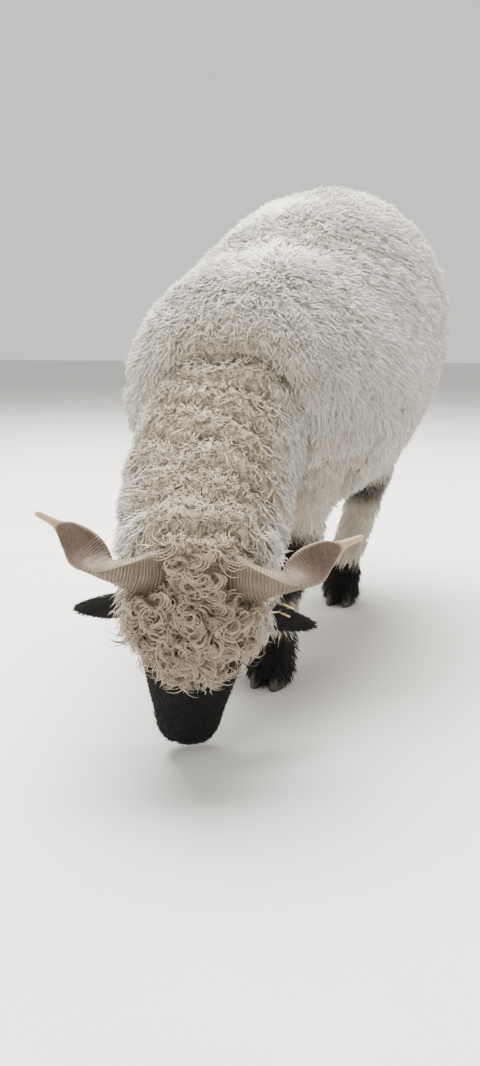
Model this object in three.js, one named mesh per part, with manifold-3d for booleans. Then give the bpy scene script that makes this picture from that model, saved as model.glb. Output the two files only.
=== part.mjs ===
// A life-size Valais Blacknose sheep, grazing with its head down and turned a little to its left.
// Millimetres. The sheep faces -Y, its left side is +X, and its soles stand on the plane z = 0.
import * as THREE from "three";
import { mergeVertices } from "three/addons/utils/BufferGeometryUtils.js";
import Module from "manifold-3d";

const wasm = await Module();
wasm.setup();

// Driving sizes
const gap = 0.4; // clearance that every piece keeps from its neighbour
const woolRoom = 6; // room left round the rounded clumps of a woolly piece
const rumpHeight = 860; // top of the fleece over the hips
const withersHeight = 690; // top of the fleece over the shoulders, low because the head is down
const bellyHeight = 250; // underside of the fleece
const bodyHalfWidth = 246; // to the tips of the fleece
const headLength = 275; // poll to lips
const hoofHeight = 44;

// Where the body's landmarks are
const poll = new THREE.Vector3(60, -572, 285);
const headYaw = 22; // degrees, turned to the sheep's left
const headPitch = 97; // degrees down from looking straight ahead
const headLean = 4.5; // degrees, the muzzle swung to the sheep's right in the plane of the face

const left = 1;
const right = -1;
const X = new THREE.Vector3(1, 0, 0);
const Y = new THREE.Vector3(0, 1, 0);
const Z = new THREE.Vector3(0, 0, 1);
const forward = new THREE.Vector3(0, -1, 0);
const radians = THREE.MathUtils.degToRad;

// Solids
function solidFrom(geometry) {
  const bare = geometry.clone();
  bare.deleteAttribute("normal");
  bare.deleteAttribute("uv");
  const merged = mergeVertices(bare, 1e-4);
  return new wasm.Manifold(
    new wasm.Mesh({
      numProp: 3,
      vertProperties: new Float32Array(merged.attributes.position.array),
      triVerts: new Uint32Array(merged.index.array),
    }),
  );
}

function geometryFrom(solid) {
  const mesh = solid.getMesh();
  return new THREE.BufferGeometry()
    .setAttribute("position", new THREE.BufferAttribute(mesh.vertProperties, 3))
    .setIndex(new THREE.BufferAttribute(mesh.triVerts, 1));
}

// The largest closed body of a solid, which fills a sealed hollow and drops a loose scrap.
function largest(solid) {
  return solid.decompose().reduce((a, b) => (b.volume() > a.volume() ? b : a));
}

const fuse = (solids) => largest(wasm.Manifold.union(solids));
const clearOf = (solid, others) => largest(solid.subtract(wasm.Manifold.union(others)));

// A closed skin over rings of equal counts of points. Rings turn anticlockwise about the way they run.
function skinOver(rings) {
  const sides = rings[0].length;
  const positions = [];
  const index = [];
  const push = (p) => positions.push(p.x, p.y, p.z) / 3 - 1;
  const middle = (ring) =>
    ring.reduce((sum, p) => sum.add(p), new THREE.Vector3()).divideScalar(sides);
  rings.flat().forEach(push);
  const first = push(middle(rings[0]));
  const last = push(middle(rings[rings.length - 1]));
  const end = (rings.length - 1) * sides;
  for (let j = 0; j < sides; j++) {
    const next = (j + 1) % sides;
    index.push(first, next, j, last, end + j, end + next);
    for (let i = 0; i < rings.length - 1; i++) {
      const a = i * sides + j;
      const b = i * sides + next;
      index.push(a, b, a + sides, b, b + sides, a + sides);
    }
  }
  return solidFrom(
    new THREE.BufferGeometry()
      .setAttribute("position", new THREE.Float32BufferAttribute(positions, 3))
      .setIndex(index),
  );
}

// A smooth value through a table's column, at a share t of its length.
function column(table, key, t) {
  const place = THREE.MathUtils.clamp(t, 0, 1) * (table.length - 1);
  const i = Math.min(Math.floor(place), table.length - 2);
  const at = (k) => table[THREE.MathUtils.clamp(k, 0, table.length - 1)][key] ?? 0;
  const [a, b, c, d] = [at(i - 1), at(i), at(i + 1), at(i + 2)];
  const s = place - i;
  return b + 0.5 * s * (c - a + s * (2 * a - 5 * b + 4 * c - d + s * (3 * (b - c) + d - a)));
}

// A limb or trunk: elliptic sections along a path, with w to each side of it,
// and up and down to the hint's side and away from it.
class Form {
  constructor(table, hint) {
    this.table = table;
    this.hint = hint;
  }

  centre(t) {
    return new THREE.Vector3(...["x", "y", "z"].map((key) => column(this.table, key, t)));
  }

  // Side, up and forward directions of the section at t.
  frame(t) {
    const step = 0.02;
    const behind = this.centre(Math.max(t - step, 0));
    const run = this.centre(Math.min(t + step, 1)).sub(behind).normalize();
    const side = this.hint.clone().cross(run).normalize();
    return { side, up: run.clone().cross(side), run };
  }

  // A point of the outline, drawn in by inset, at the angle a from the side towards up.
  point(t, a, inset = 0) {
    const { side, up } = this.frame(t);
    const reach = (key) => Math.max(column(this.table, key, t) - inset, 2);
    const rise = Math.sin(a) * reach(Math.sin(a) > 0 ? "up" : "down");
    return this.centre(t).addScaledVector(side, Math.cos(a) * reach("w")).addScaledVector(up, rise);
  }

  // The way out of the surface at t and a.
  normal(t, a) {
    const step = 0.01;
    const acrossStep = this.point(t, a + step).sub(this.point(t, a - step));
    const alongStep = this.point(Math.min(t + step, 1), a).sub(this.point(Math.max(t - step, 0), a));
    return acrossStep.cross(alongStep).normalize();
  }

  solid(count, sides, inset = 0, from = 0, to = 1) {
    const rings = [];
    for (let i = 0; i < count; i++) {
      const t = from + ((to - from) * i) / (count - 1);
      const ring = [];
      for (let j = 0; j < sides; j++) ring.push(this.point(t, (2 * Math.PI * j) / sides, inset));
      if (inset < 0 && (i === 0 || i === count - 1)) {
        const out = this.frame(t).run.multiplyScalar(i === 0 ? -gap : gap);
        ring.forEach((p) => p.add(out));
      }
      rings.push(ring);
    }
    return skinOver(rings);
  }
}

// A repeatable draw between -1 and 1
let seed = 16;
function draw() {
  seed = (seed * 1664525 + 1013904223) % 4294967296;
  return seed / 2147483648 - 1;
}

// A lock or clump of wool: it rises along out, leans over along lie and ends round.
// Its root is sunk, so that it joins what it grows from.
function lock(base, out, lie, { rise, sweep, width, thick }) {
  const lockSides = 5;
  const side = lie.clone().cross(out).normalize();
  const turn = draw();
  const shape = [
    { s: 0, girth: 1 },
    { s: 0.36, girth: 0.92 },
    { s: 0.7, girth: 0.56 },
  ];
  const along = (s) =>
    base
      .clone()
      .addScaledVector(out, rise * Math.sin((s * Math.PI) / 2))
      .addScaledVector(lie, sweep * s * s);
  const rings = shape.map(({ s, girth }) => {
    const run = along(s + 0.05).sub(along(s - 0.05)).normalize();
    const across = side.clone();
    const over = run.clone().cross(across).normalize();
    const ring = [];
    for (let j = 0; j < lockSides; j++) {
      const a = turn + (2 * Math.PI * j) / lockSides;
      ring.push(
        along(s)
          .addScaledVector(across, (Math.cos(a) * girth * width) / 2)
          .addScaledVector(over, (Math.sin(a) * girth * thick) / 2),
      );
    }
    return ring;
  });
  rings.push(Array.from({ length: lockSides }, () => along(1)));
  return skinOver(rings);
}

// Clumps set close over a form, in staggered rows, their tips on its outline.
// The lie function gives the way a clump leans, from its place and the way out of the surface.
function coat(form, { spacing, depth, from = 0, to = 1, lean = 0.3, round = 1.12, lie }) {
  const clumps = [];
  const stepsAcross = 24;
  const girthAt = (t) => {
    let girth = 0;
    for (let j = 0; j < stepsAcross; j++) {
      const [a, b] = [j, j + 1].map((k) => form.point(t, (2 * Math.PI * k) / stepsAcross, depth / 2));
      girth += a.distanceTo(b);
    }
    return girth;
  };
  let t = from;
  for (let row = 0; t <= to; row++) {
    const girth = girthAt(t);
    const count = Math.max(3, Math.round(girth / spacing));
    for (let j = 0; j < count; j++) {
      const a = (2 * Math.PI * (j + (row % 2) / 2 + 0.12 * draw())) / count;
      const at = THREE.MathUtils.clamp(t + 0.012 * draw(), 0, 1);
      const out = form.normal(at, a);
      const way = lie(form.point(at, a), out);
      const size = (girth / count) * round * (1 + 0.1 * draw());
      const rise = depth * (1 + 0.06 * draw());
      const back = 0.7 * rise * lean;
      const clumpRoot = form.point(at, a).addScaledVector(out, -rise).addScaledVector(way, -back);
      const shape = { rise, sweep: rise * lean, width: size, thick: spacing * round };
      clumps.push(lock(clumpRoot, out, way, shape));
    }
    const here = form.point(t, Math.PI / 2, depth / 2);
    const rowGap = spacing * 0.86;
    let ahead = t;
    while (ahead < 1.2 && form.point(ahead, Math.PI / 2, depth / 2).distanceTo(here) < rowGap) {
      ahead += 0.01;
    }
    t = ahead;
  }
  return clumps;
}

// Wool hangs down over a surface, and back along the body.
function downAndBack(back) {
  return (place, out) => {
    const way = new THREE.Vector3(0, back, -1);
    return way.addScaledVector(out, -way.dot(out)).normalize();
  };
}

// The trunk in its fleece, from the rump to the brisket
const trunk = new Form(
  [
    { y: 462, z: 590, w: 60, up: 66, down: 66 },
    { y: 430, z: 592, w: 145, up: 160, down: 150 },
    { y: 350, z: 595, w: 212, up: 236, down: 225 },
    { y: 220, z: 590, w: bodyHalfWidth - 2, up: rumpHeight - 590, down: 280 },
    { y: 60, z: 545, w: bodyHalfWidth, up: 262, down: 545 - bellyHeight },
    { y: -90, z: 500, w: bodyHalfWidth - 2, up: 228, down: 500 - bellyHeight },
    { y: -210, z: 470, w: 232, up: withersHeight - 480, down: 205 },
    { y: -300, z: 452, w: 178, up: 160, down: 150 },
    { y: -350, z: 440, w: 82, up: 75, down: 75 },
  ],
  Z,
);

// The neck in its wool, from inside the shoulders down to the poll
const neck = new Form(
  [
    { x: 0, y: -150, z: 560, w: 118, up: 92, down: 80 },
    { x: 0, y: -245, z: 500, w: 132, up: 108, down: 100 },
    { x: 3, y: -345, z: 430, w: 130, up: 106, down: 116 },
    { x: 14, y: -435, z: 358, w: 125, up: 100, down: 112 },
    { x: 40, y: -515, z: 298, w: 118, up: 84, down: 98 },
    { x: 56, y: -556, z: 264, w: 96, up: 64, down: 76 },
  ],
  Z,
);

// The head is built looking straight ahead, its poll at the origin, and is then placed by this matrix
const headPlace = new THREE.Matrix4()
  .makeTranslation(poll.x, poll.y, poll.z)
  .multiply(new THREE.Matrix4().makeRotationZ(radians(headYaw)))
  .multiply(new THREE.Matrix4().makeRotationX(radians(headPitch)))
  .multiply(new THREE.Matrix4().makeRotationZ(radians(-headLean)));

const skull = new Form(
  [
    { y: 40, w: 40, up: 26, down: 40 },
    { y: 0, w: 58, up: 42, down: 62 },
    { y: -45, w: 66, up: 50, down: 82 },
    { y: -88, w: 67, up: 47, down: 88 },
    { y: -132, w: 66, up: 39, down: 80 },
    { y: -176, w: 60, up: 34, down: 68 },
    { y: -214, w: 52, up: 31, down: 54 },
    { y: -248, w: 43, up: 28, down: 44 },
    { y: 7 - headLength, w: 30, up: 18, down: 28 },
    { y: -headLength, w: 12, up: 8, down: 12 },
  ],
  Z,
);

// The curly forelock, from the poll down over the forehead and the eyes
const forelock = new Form(
  [
    { y: 34, z: 30, w: 48, up: 26, down: 30 },
    { y: 8, z: 36, w: 84, up: 44, down: 36 },
    { y: -36, z: 42, w: 104, up: 50, down: 34 },
    { y: -82, z: 44, w: 105, up: 44, down: 24 },
    { y: -126, z: 42, w: 82, up: 34, down: 24 },
    { y: -158, z: 38, w: 54, up: 22, down: 22 },
    { y: -174, z: 34, w: 22, up: 12, down: 12 },
  ],
  Z,
);

// The woolly cheeks and throat behind the black face
const cheeks = new Form(
  [
    { y: 56, z: -30, w: 70, up: 50, down: 50 },
    { y: 16, z: -30, w: 104, up: 72, down: 74 },
    { y: -40, z: -36, w: 113, up: 66, down: 82 },
    { y: -78, z: -48, w: 102, up: 54, down: 72 },
    { y: -108, z: -58, w: 78, up: 34, down: 56 },
    { y: -132, z: -66, w: 38, up: 16, down: 28 },
  ],
  Z,
);

// Horns: a flattened strap that turns over on itself once on its way out
const hornStations = [
  { x: 18, y: -8, z: 14, width: 70, thick: 44, twist: 0 },
  { x: 50, y: -8, z: 40, width: 72, thick: 42, twist: 12 },
  { x: 84, y: -4, z: 54, width: 62, thick: 34, twist: 42 },
  { x: 114, y: 2, z: 50, width: 50, thick: 27, twist: 88 },
  { x: 142, y: 17, z: 34, width: 46, thick: 22, twist: 138 },
  { x: 166, y: 31, z: 18, width: 38, thick: 19, twist: 172 },
  { x: 186, y: 42, z: 12, width: 24, thick: 15, twist: 190 },
  { x: 202, y: 53, z: 18, width: 12, thick: 11, twist: 200 },
];
const hornRidges = 12;
const ridgeHeight = 1.4;
const hornRoomGrow = ridgeHeight + 2.6; // its plainer, roomier form, which others are cut by

function horn(side, ridges = hornRidges, grow = 0) {
  const path = new THREE.CatmullRomCurve3(
    hornStations.map(({ x, y, z }) => new THREE.Vector3(side * x, y, z)),
  );
  const sides = 10;
  const count = 2 * ridges + 3;
  const rings = [];
  for (let i = 0; i < count; i++) {
    const t = i / (count - 1);
    const run = path.getTangent(t);
    const across = forward.clone().addScaledVector(run, -forward.dot(run)).normalize();
    const out = run.clone().cross(across);
    const turn = side * radians(column(hornStations, "twist", t));
    const ridge = i % 2 && t < 0.8 && !grow ? ridgeHeight : 0;
    const ring = [];
    for (let j = 0; j < sides; j++) {
      const a = (2 * Math.PI * j) / sides;
      const u = Math.cos(a) * (column(hornStations, "width", t) / 2 + ridge + grow);
      const v = Math.sin(a) * (column(hornStations, "thick", t) / 2 + ridge + grow);
      ring.push(
        path
          .getPoint(t)
          .addScaledVector(across, u * Math.cos(turn) - v * Math.sin(turn))
          .addScaledVector(out, u * Math.sin(turn) + v * Math.cos(turn))
          .addScaledVector(run, i === count - 1 ? grow : 0),
      );
    }
    rings.push(ring);
  }
  return skinOver(rings);
}
const hornRoom = (side) => horn(side, 6, hornRoomGrow);

// Ears: cupped leaves that stand out to the side and droop
const earLength = 128;
const earHalfWidth = 25;
const earThick = 5;
const earRoot = { x: 50, y: -56, z: -14 };
const earTip = { x: 172, y: -114, z: -36 };

const earFacing = new THREE.Vector3(0, -0.6, 1);

// The ear's root and its directions: along it, out of its hollow face, and across it.
function earFrame(side) {
  const base = new THREE.Vector3(side * earRoot.x, earRoot.y, earRoot.z);
  const run = new THREE.Vector3(side * earTip.x, earTip.y, earTip.z).sub(base).normalize();
  const front = earFacing.clone().addScaledVector(run, -earFacing.dot(run)).normalize();
  return { base, run, front, across: run.clone().cross(front) };
}

// The ear's cross-section at a share s of its length
function earSection(s) {
  const leaf = 0.42 + 0.58 * Math.sin(Math.PI * Math.min(1, 0.12 + 0.6 * s + 0.1 * s * s));
  const half = earHalfWidth * leaf * Math.sqrt(Math.max(1 - s ** 5, 0.02));
  return { half, depth: half * (0.8 - 0.5 * s), thick: earThick * (1 - 0.4 * s), droop: -10 * s * s };
}

function ear(side, grow = 0) {
  const { base, run, front, across } = earFrame(side);
  const rows = 7;
  const columns = 6;
  const rings = [];
  for (let i = 0; i < rows; i++) {
    const s = i / (rows - 1);
    const { half, depth, thick, droop } = earSection(s);
    const along = s * earLength + (i === 0 ? -grow : 0) + (i === rows - 1 ? grow : 0);
    const point = (j, offset) => {
      const v = (2 * j) / columns - 1;
      const tilt = Math.atan((2 * v * depth) / half);
      const rim = Math.trunc(v) * grow;
      return base
        .clone()
        .addScaledVector(run, along)
        .addScaledVector(across, v * half - Math.sin(tilt) * offset + Math.cos(tilt) * rim)
        .addScaledVector(front, depth * (v * v - 0.4) + droop)
        .addScaledVector(front, Math.cos(tilt) * offset + Math.sin(tilt) * rim);
    };
    const ring = [];
    for (let j = 0; j <= columns; j++) ring.push(point(j, thick / 2 + grow));
    for (let j = columns; j >= 0; j--) ring.push(point(j, -thick / 2 - grow));
    rings.push(ring);
  }
  return skinOver(rings);
}

// The ear tag: two plates on a pin through the left ear
const tagShare = 0.68; // how far out along the ear
const tagPin = { radius: 2.5, length: 20 };
const tagPlate = { width: 13, length: 27, thick: 2.2 };
const tagBack = { width: 22, length: 28, thick: 2.2 };

// Puts a shape made about the origin at the tag's place, its z axis out of the ear's hollow face.
function atTag(geometry) {
  const { base, run, front, across } = earFrame(left);
  const { depth, droop } = earSection(tagShare);
  const place = base
    .addScaledVector(run, tagShare * earLength)
    .addScaledVector(front, droop - 0.4 * depth);
  const basis = new THREE.Matrix4().makeBasis(run, across.negate(), front).setPosition(place);
  return solidFrom(geometry.applyMatrix4(basis));
}

function tagPost(radius) {
  return atTag(new THREE.CylinderGeometry(radius, radius, tagPin.length, 14).rotateX(Math.PI / 2));
}

function earTag() {
  const plate = ({ width, length, thick }, z) =>
    atTag(new THREE.BoxGeometry(width, length, thick).rotateZ(0.7).translate(0, 0, z));
  const reach = tagPin.length / 2;
  return fuse([tagPost(tagPin.radius), plate(tagPlate, reach), plate(tagBack, -reach)]);
}

// Eyes on the sides of the skull
const eyeRadius = 13.5;
const eyePlace = { x: 57, y: -106, z: 8 };
const eyeCentre = (side) => new THREE.Vector3(side * eyePlace.x, eyePlace.y, eyePlace.z);

function ball(centre, radius, across = 11) {
  const sphere = new THREE.SphereGeometry(radius, across, Math.round(across * 0.7));
  return solidFrom(sphere.translate(centre.x, centre.y, centre.z));
}

// Lids: an almond ring about the eye's outward direction
const lidRing = { radius: 13, thick: 3.6, squash: 0.72, out: 6 };

function lids(side) {
  const out = new THREE.Vector3(side, -0.25, 0.3).normalize();
  const along = Y.clone().addScaledVector(out, -Y.dot(out)).normalize();
  const place = eyeCentre(side).addScaledVector(out, lidRing.out);
  const basis = new THREE.Matrix4().makeBasis(along, out.clone().cross(along), out).setPosition(place);
  const ring = new THREE.TorusGeometry(lidRing.radius, lidRing.thick, 5, 12).scale(1, lidRing.squash, 1);
  return solidFrom(ring.applyMatrix4(basis));
}

// A round cord along points, for a groove or a rim
function cord(points, radius, hint = Z) {
  const sides = 5;
  const path = new THREE.CatmullRomCurve3(points);
  const steps = Math.round(points.length * 1.4);
  const rings = [];
  for (let i = 0; i <= steps; i++) {
    const run = path.getTangent(i / steps);
    const across = hint.clone().cross(run).normalize();
    const up = run.clone().cross(across);
    const ring = [];
    for (let j = 0; j < sides; j++) {
      const a = (2 * Math.PI * j) / sides;
      const spoke = across.clone().multiplyScalar(Math.cos(a)).addScaledVector(up, Math.sin(a));
      ring.push(path.getPoint(i / steps).addScaledVector(spoke, radius));
    }
    rings.push(ring);
  }
  return skinOver(rings);
}

// The mouth: one groove from corner to corner, low round the front of the muzzle
const mouthCorner = { share: 0.8, angle: -24 };
const mouthFront = { share: 0.985, angle: -90 };
const mouthGroove = 2.4;

function mouth() {
  const points = [];
  for (let k = -6; k <= 6; k++) {
    const back = Math.abs(k) / 6;
    const share = mouthFront.share + (mouthCorner.share - mouthFront.share) * back ** 1.4;
    const below = mouthFront.angle + (mouthCorner.angle - mouthFront.angle) * Math.sqrt(back);
    const angle = k < 0 ? -180 - below : below;
    points.push(skull.point(share, radians(angle), 0.6));
  }
  return cord(points, mouthGroove);
}

// Nostrils: slanting slots, with a cleft between them down to the lip
const nostril = { x: 13, y: -269, z: 9, size: [4.2, 9, 5] };

function nostrils() {
  const slots = [left, right].map((side) =>
    solidFrom(
      new THREE.SphereGeometry(1, 10, 7)
        .scale(...nostril.size)
        .rotateZ(side * 0.6)
        .translate(side * nostril.x, nostril.y, nostril.z),
    ),
  );
  const cleft = [14, 0, -14].map((z) => new THREE.Vector3(0, -headLength, z));
  return [...slots, cord(cleft, 1.6, X)];
}

// Legs: paths from inside the fleece down to the fetlock, in their wool
const feet = {
  fore_left: { x: 57, y: -284, top: [104, -220, 400], joint: [86, -282, 226] },
  fore_right: { x: -92, y: -262, top: [-108, -216, 400], joint: [-98, -262, 226] },
  hind_left: { x: 53, y: 186, top: [118, 240, 440], joint: [86, 250, 240] },
  hind_right: { x: -104, y: 296, top: [-124, 262, 440], joint: [-112, 348, 246] },
};
const fetlockHeight = 92;
const cannonHeight = 165; // halfway down the shin

const legForms = Object.fromEntries(
  Object.entries(feet).map(([name, { x, y, top, joint }]) => {
    const hind = name.startsWith("hind");
    const place = ([px, py, pz]) => ({ x: px, y: py, z: pz });
    const between = (a, b) => a.map((value, i) => (value + b[i]) / 2);
    const ankle = [x, y + 22, fetlockHeight];
    const cannon = between(joint, ankle);
    cannon[2] = cannonHeight;
    const thigh = hind ? 92 : 74;
    const rows = [
      { ...place(top), w: 66, up: thigh, down: thigh },
      { ...place(between(top, joint)), w: 56, up: hind ? 70 : 60, down: hind ? 74 : 60 },
      { ...place(joint), w: 42, up: 42, down: 46 },
      { ...place(cannon), w: 38, up: 38, down: 40 },
      { ...place(ankle), w: 37, up: 37, down: 40 },
    ];
    return [name, new Form(rows, forward)];
  }),
);

// Feet: the hairy black pastern over two hooves
const footForms = Object.fromEntries(
  Object.entries(feet).map(([name, { x, y }]) => {
    const rows = [
      { x, y: y + 22, z: fetlockHeight + 22, w: 26, up: 26, down: 28 },
      { x, y: y + 20, z: fetlockHeight - 8, w: 38, up: 37, down: 41 },
      { x, y: y + 8, z: 56, w: 40, up: 40, down: 42 },
      { x, y: y - 2, z: 20, w: 41, up: 44, down: 42 },
      { x, y: y - 4, z: 10, w: 36, up: 38, down: 36 },
    ];
    return [name, new Form(rows, forward)];
  }),
);

const hoofLength = 66;
const hoofWidth = 27;
const clawSpread = 17;

// One claw: a flat sole and walls that lean in, with a pointed toe.
function claw(x, y, grow = 0) {
  const half = [[0, -1], [0.72, -0.55], [1, 0.1], [0.86, 0.8], [0, 1]];
  const mirrored = half.slice(1, -1).reverse().map(([u, v]) => [-u, v]);
  const outline = (scale, z, lift) =>
    [...half, ...mirrored].map(([u, v]) => {
      const across = u * ((hoofWidth / 2) * scale + grow);
      const along = v * ((hoofLength / 2) * scale + grow) + lift;
      return new THREE.Vector3(x + across, y + along, z);
    });
  const sole = outline(1, -grow, 0);
  const wall = outline(0.97, hoofHeight * 0.4, 3);
  const coronet = outline(0.74, hoofHeight + grow, 9);
  return skinOver([sole, wall, coronet]);
}

// The tail, woolly and hanging close behind
const tail = new Form(
  [
    { x: 0, y: 424, z: 690, w: 34, up: 34, down: 34 },
    { x: 0, y: 458, z: 640, w: 52, up: 46, down: 44 },
    { x: 0, y: 478, z: 560, w: 56, up: 44, down: 44 },
    { x: 0, y: 480, z: 470, w: 50, up: 40, down: 42 },
    { x: 0, y: 474, z: 400, w: 32, up: 26, down: 26 },
    { x: 0, y: 470, z: 384, w: 10, up: 8, down: 8 },
  ],
  Y,
);

// Nodes
const root = new THREE.Group();
const headGroup = new THREE.Group();
headGroup.name = "head_group";
headGroup.applyMatrix4(headPlace);
root.add(headGroup);

function addNode(name, solid, anchor, colour, roughness = 0.9, parent = root) {
  const material = new THREE.MeshStandardMaterial({ color: colour, roughness, metalness: 0 });
  const geometry = geometryFrom(solid).translate(-anchor.x, -anchor.y, -anchor.z);
  const mesh = new THREE.Mesh(geometry, material);
  mesh.name = name;
  mesh.position.copy(anchor);
  parent.add(mesh);
}

const wool = 0xe2d8c6;
const curls = 0xcdbca2;
const blackHair = 0x17161a;
const hornBrown = 0xa8875f;

const sides = { left, right };
const hornsAndEars = [];
for (const [name, side] of Object.entries(sides)) {
  const hornRoot = new THREE.Vector3(side * hornStations[0].x, hornStations[0].y, hornStations[0].z);
  const { base } = earFrame(side);
  const earCuts = [hornRoom(side)];
  if (side === left) earCuts.push(tagPost(tagPin.radius + gap));
  addNode(`horn_${name}`, horn(side), hornRoot, hornBrown, 0.55, headGroup);
  addNode(`ear_${name}`, clearOf(ear(side), earCuts), base, blackHair, 0.9, headGroup);
  addNode(`eye_${name}`, ball(eyeCentre(side), eyeRadius), eyeCentre(side), 0x2a1d12, 0.1, headGroup);
  hornsAndEars.push(hornRoom(side), ear(side, 4 * gap), ball(eyeCentre(side), eyeRadius + gap));
}
addNode("ear_tag", earTag(), earFrame(left).base, 0xe8c21a, 0.4, headGroup);

const faceForms = [skull.solid(18, 14), lids(left), lids(right)];
const face = clearOf(fuse(faceForms), [...hornsAndEars, mouth(), ...nostrils()]);
addNode("head", face, new THREE.Vector3(), blackHair, 0.9, headGroup);

// Head wool: locks that fall down the face from the poll, and clumps on the cheeks
const downTheFace = (place, out) => {
  const way = new THREE.Vector3(0.004 * place.x, -1, 0);
  return way.addScaledVector(out, -way.dot(out)).normalize();
};
const tipInset = 4; // how far clump tips stay inside a form that others are cut by
const inner = (form) => ({
  point: (t, a, inset = 0) => form.point(t, a, inset + tipInset),
  normal: (t, a) => form.normal(t, a),
});
const forelockCoat = coat(inner(forelock), {
  spacing: 92,
  depth: 22,
  from: 0.2,
  to: 0.96,
  lean: 0.8,
  lie: downTheFace,
});
const cheekCoat = coat(inner(cheeks), { spacing: 120, depth: 26, from: 0.3, to: 0.85, lie: downTheFace });
const woolCores = [forelock.solid(7, 10, 14, 0, 0.97), cheeks.solid(6, 10, 16, 0, 0.97)];
const inWorld = (form) => form.transform(headPlace.elements);
const headWoolForms = [...woolCores, ...forelockCoat, ...cheekCoat].map(inWorld);
const lidRoom = [left, right].map((side) => ball(eyeCentre(side), lidRing.radius + lidRing.out));
const headRoom = [...hornsAndEars, ...lidRoom, skull.solid(18, 14, -gap)].map(inWorld);

const tailCoat = coat(inner(tail), { spacing: 112, depth: 24, from: 0.44, to: 0.92, lie: downAndBack(0) });
const tailSolid = fuse([tail.solid(6, 8, 15), ...tailCoat]);
addNode("tail", tailSolid, tail.centre(0.2), wool);

const torsoCuts = [tail.solid(7, 10, -3 * woolRoom)];
for (const [name, { x, y }] of Object.entries(feet)) {
  const claws = { inner: -1, outer: 1 };
  const clawRoom = [];
  for (const [part, way] of Object.entries(claws)) {
    const place = x + Math.sign(x) * way * clawSpread;
    addNode(`hoof_${name}_${part}`, claw(place, y - 8), new THREE.Vector3(place, y, 0), 0x1c1815, 0.6);
    clawRoom.push(claw(place, y - 8, gap));
  }
  const foot = clearOf(footForms[name].solid(6, 10), clawRoom);
  addNode(`foot_${name}`, foot, new THREE.Vector3(x, y, fetlockHeight), blackHair);
  const legForm = legForms[name];
  const legCoat = coat(inner(legForm), {
    spacing: 112,
    depth: 16,
    from: 0.55,
    to: 0.97,
    lie: downAndBack(0),
  });
  const leg = clearOf(fuse([legForm.solid(6, 8, 11), ...legCoat]), [footForms[name].solid(6, 10, -gap)]);
  addNode(`leg_${name}`, leg, legForm.centre(0), wool);
  torsoCuts.push(legForm.solid(6, 10, -woolRoom / 2));
}
const neckCoat = coat(inner(neck), {
  spacing: 108,
  depth: 42,
  from: 0.2,
  to: 0.9,
  lie: downAndBack(-0.4),
});
const trunkCoat = coat(trunk, { spacing: 164, depth: 56, from: 0.02, to: 0.985, lie: downAndBack(0.3) });

// Trunk, neck and head wool are one body, parted by thin flat cuts
const cuts = {
  neckRoot: { at: new THREE.Vector3(0, -352, 430), way: new THREE.Vector3(0, -0.95, -0.31) },
  nape: { at: new THREE.Vector3(40, -512, 298), way: new THREE.Vector3(0.25, -0.8, -0.55) },
};

// The part of a solid that lies past a cut, or short of it.
function part(solid, { at, way }, side) {
  const out = way.clone().normalize().multiplyScalar(side);
  return solid.trimByPlane(out.toArray(), out.dot(at) + gap / 2);
}

const fleece = fuse([
  trunk.solid(10, 14, 44, 0.04, 0.96),
  ...trunkCoat,
  neck.solid(7, 12, 32),
  ...neckCoat,
  ...headWoolForms,
]);
const body = clearOf(fleece, [...torsoCuts, ...headRoom]);
const headWool = largest(part(body, cuts.nape, 1));
const neckSolid = largest(part(part(body, cuts.nape, -1), cuts.neckRoot, 1));
const torso = largest(part(body, cuts.neckRoot, -1));
addNode("head_wool", headWool, poll, curls, 0.95);
addNode("neck", neckSolid, neck.centre(0.5), wool);
addNode("torso", torso, trunk.centre(0.5), wool);

// The part's origin is on the ground, under the middle of its box
const box = new THREE.Box3().setFromObject(root, true);
const middle = box.getCenter(new THREE.Vector3());
root.position.set(-middle.x, -middle.y, 0);

export default root;
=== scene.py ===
"""A life-size Valais Blacknose sheep, grazing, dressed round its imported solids.

Metres, in the frame's own axes: the sheep faces -Y, its left side is +X and the floor is z = 0.
One skin runs through the body, inset from the fleece's outline by the coat's depth. Locks of wool
and tufts of hair, each a small closed mesh, stand on it and follow the lie of the coat.
"""

import itertools
import logging
import math
from dataclasses import dataclass, field
from enum import Enum

import bpy
import numpy as np
from mathutils import Matrix, Vector, kdtree


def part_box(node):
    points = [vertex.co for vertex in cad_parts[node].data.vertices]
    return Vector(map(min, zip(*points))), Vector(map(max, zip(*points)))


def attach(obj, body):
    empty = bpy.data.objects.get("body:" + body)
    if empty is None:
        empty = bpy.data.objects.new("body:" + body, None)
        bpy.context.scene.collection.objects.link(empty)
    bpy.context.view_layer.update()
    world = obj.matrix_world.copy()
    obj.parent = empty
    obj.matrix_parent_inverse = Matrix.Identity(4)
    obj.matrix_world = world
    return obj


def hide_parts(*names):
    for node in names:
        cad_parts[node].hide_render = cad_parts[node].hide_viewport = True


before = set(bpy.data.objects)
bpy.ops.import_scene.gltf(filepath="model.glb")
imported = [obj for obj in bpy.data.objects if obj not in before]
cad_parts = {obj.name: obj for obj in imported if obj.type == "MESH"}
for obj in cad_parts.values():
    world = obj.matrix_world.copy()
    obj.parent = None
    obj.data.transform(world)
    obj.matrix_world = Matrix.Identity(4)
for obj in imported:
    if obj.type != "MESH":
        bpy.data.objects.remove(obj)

Array = np.ndarray
Rows = list[tuple[float, ...]]
Triple = tuple[float, float, float]
Colour = tuple[float, float, float, float]

log = logging.getLogger("sheep")

MM = 0.001
BODY = "root"
OFF_FLOOR = 1.5 * MM
BAKE_LAYER = "OFBake"
LEFT, RIGHT = 1, -1

# Factors of the noise's scramble, and the largest number in it
SCRAMBLE = (73856093, 19349663, 83492791, 26544357)
LARGEST = 0x7FFFFFFF

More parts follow.
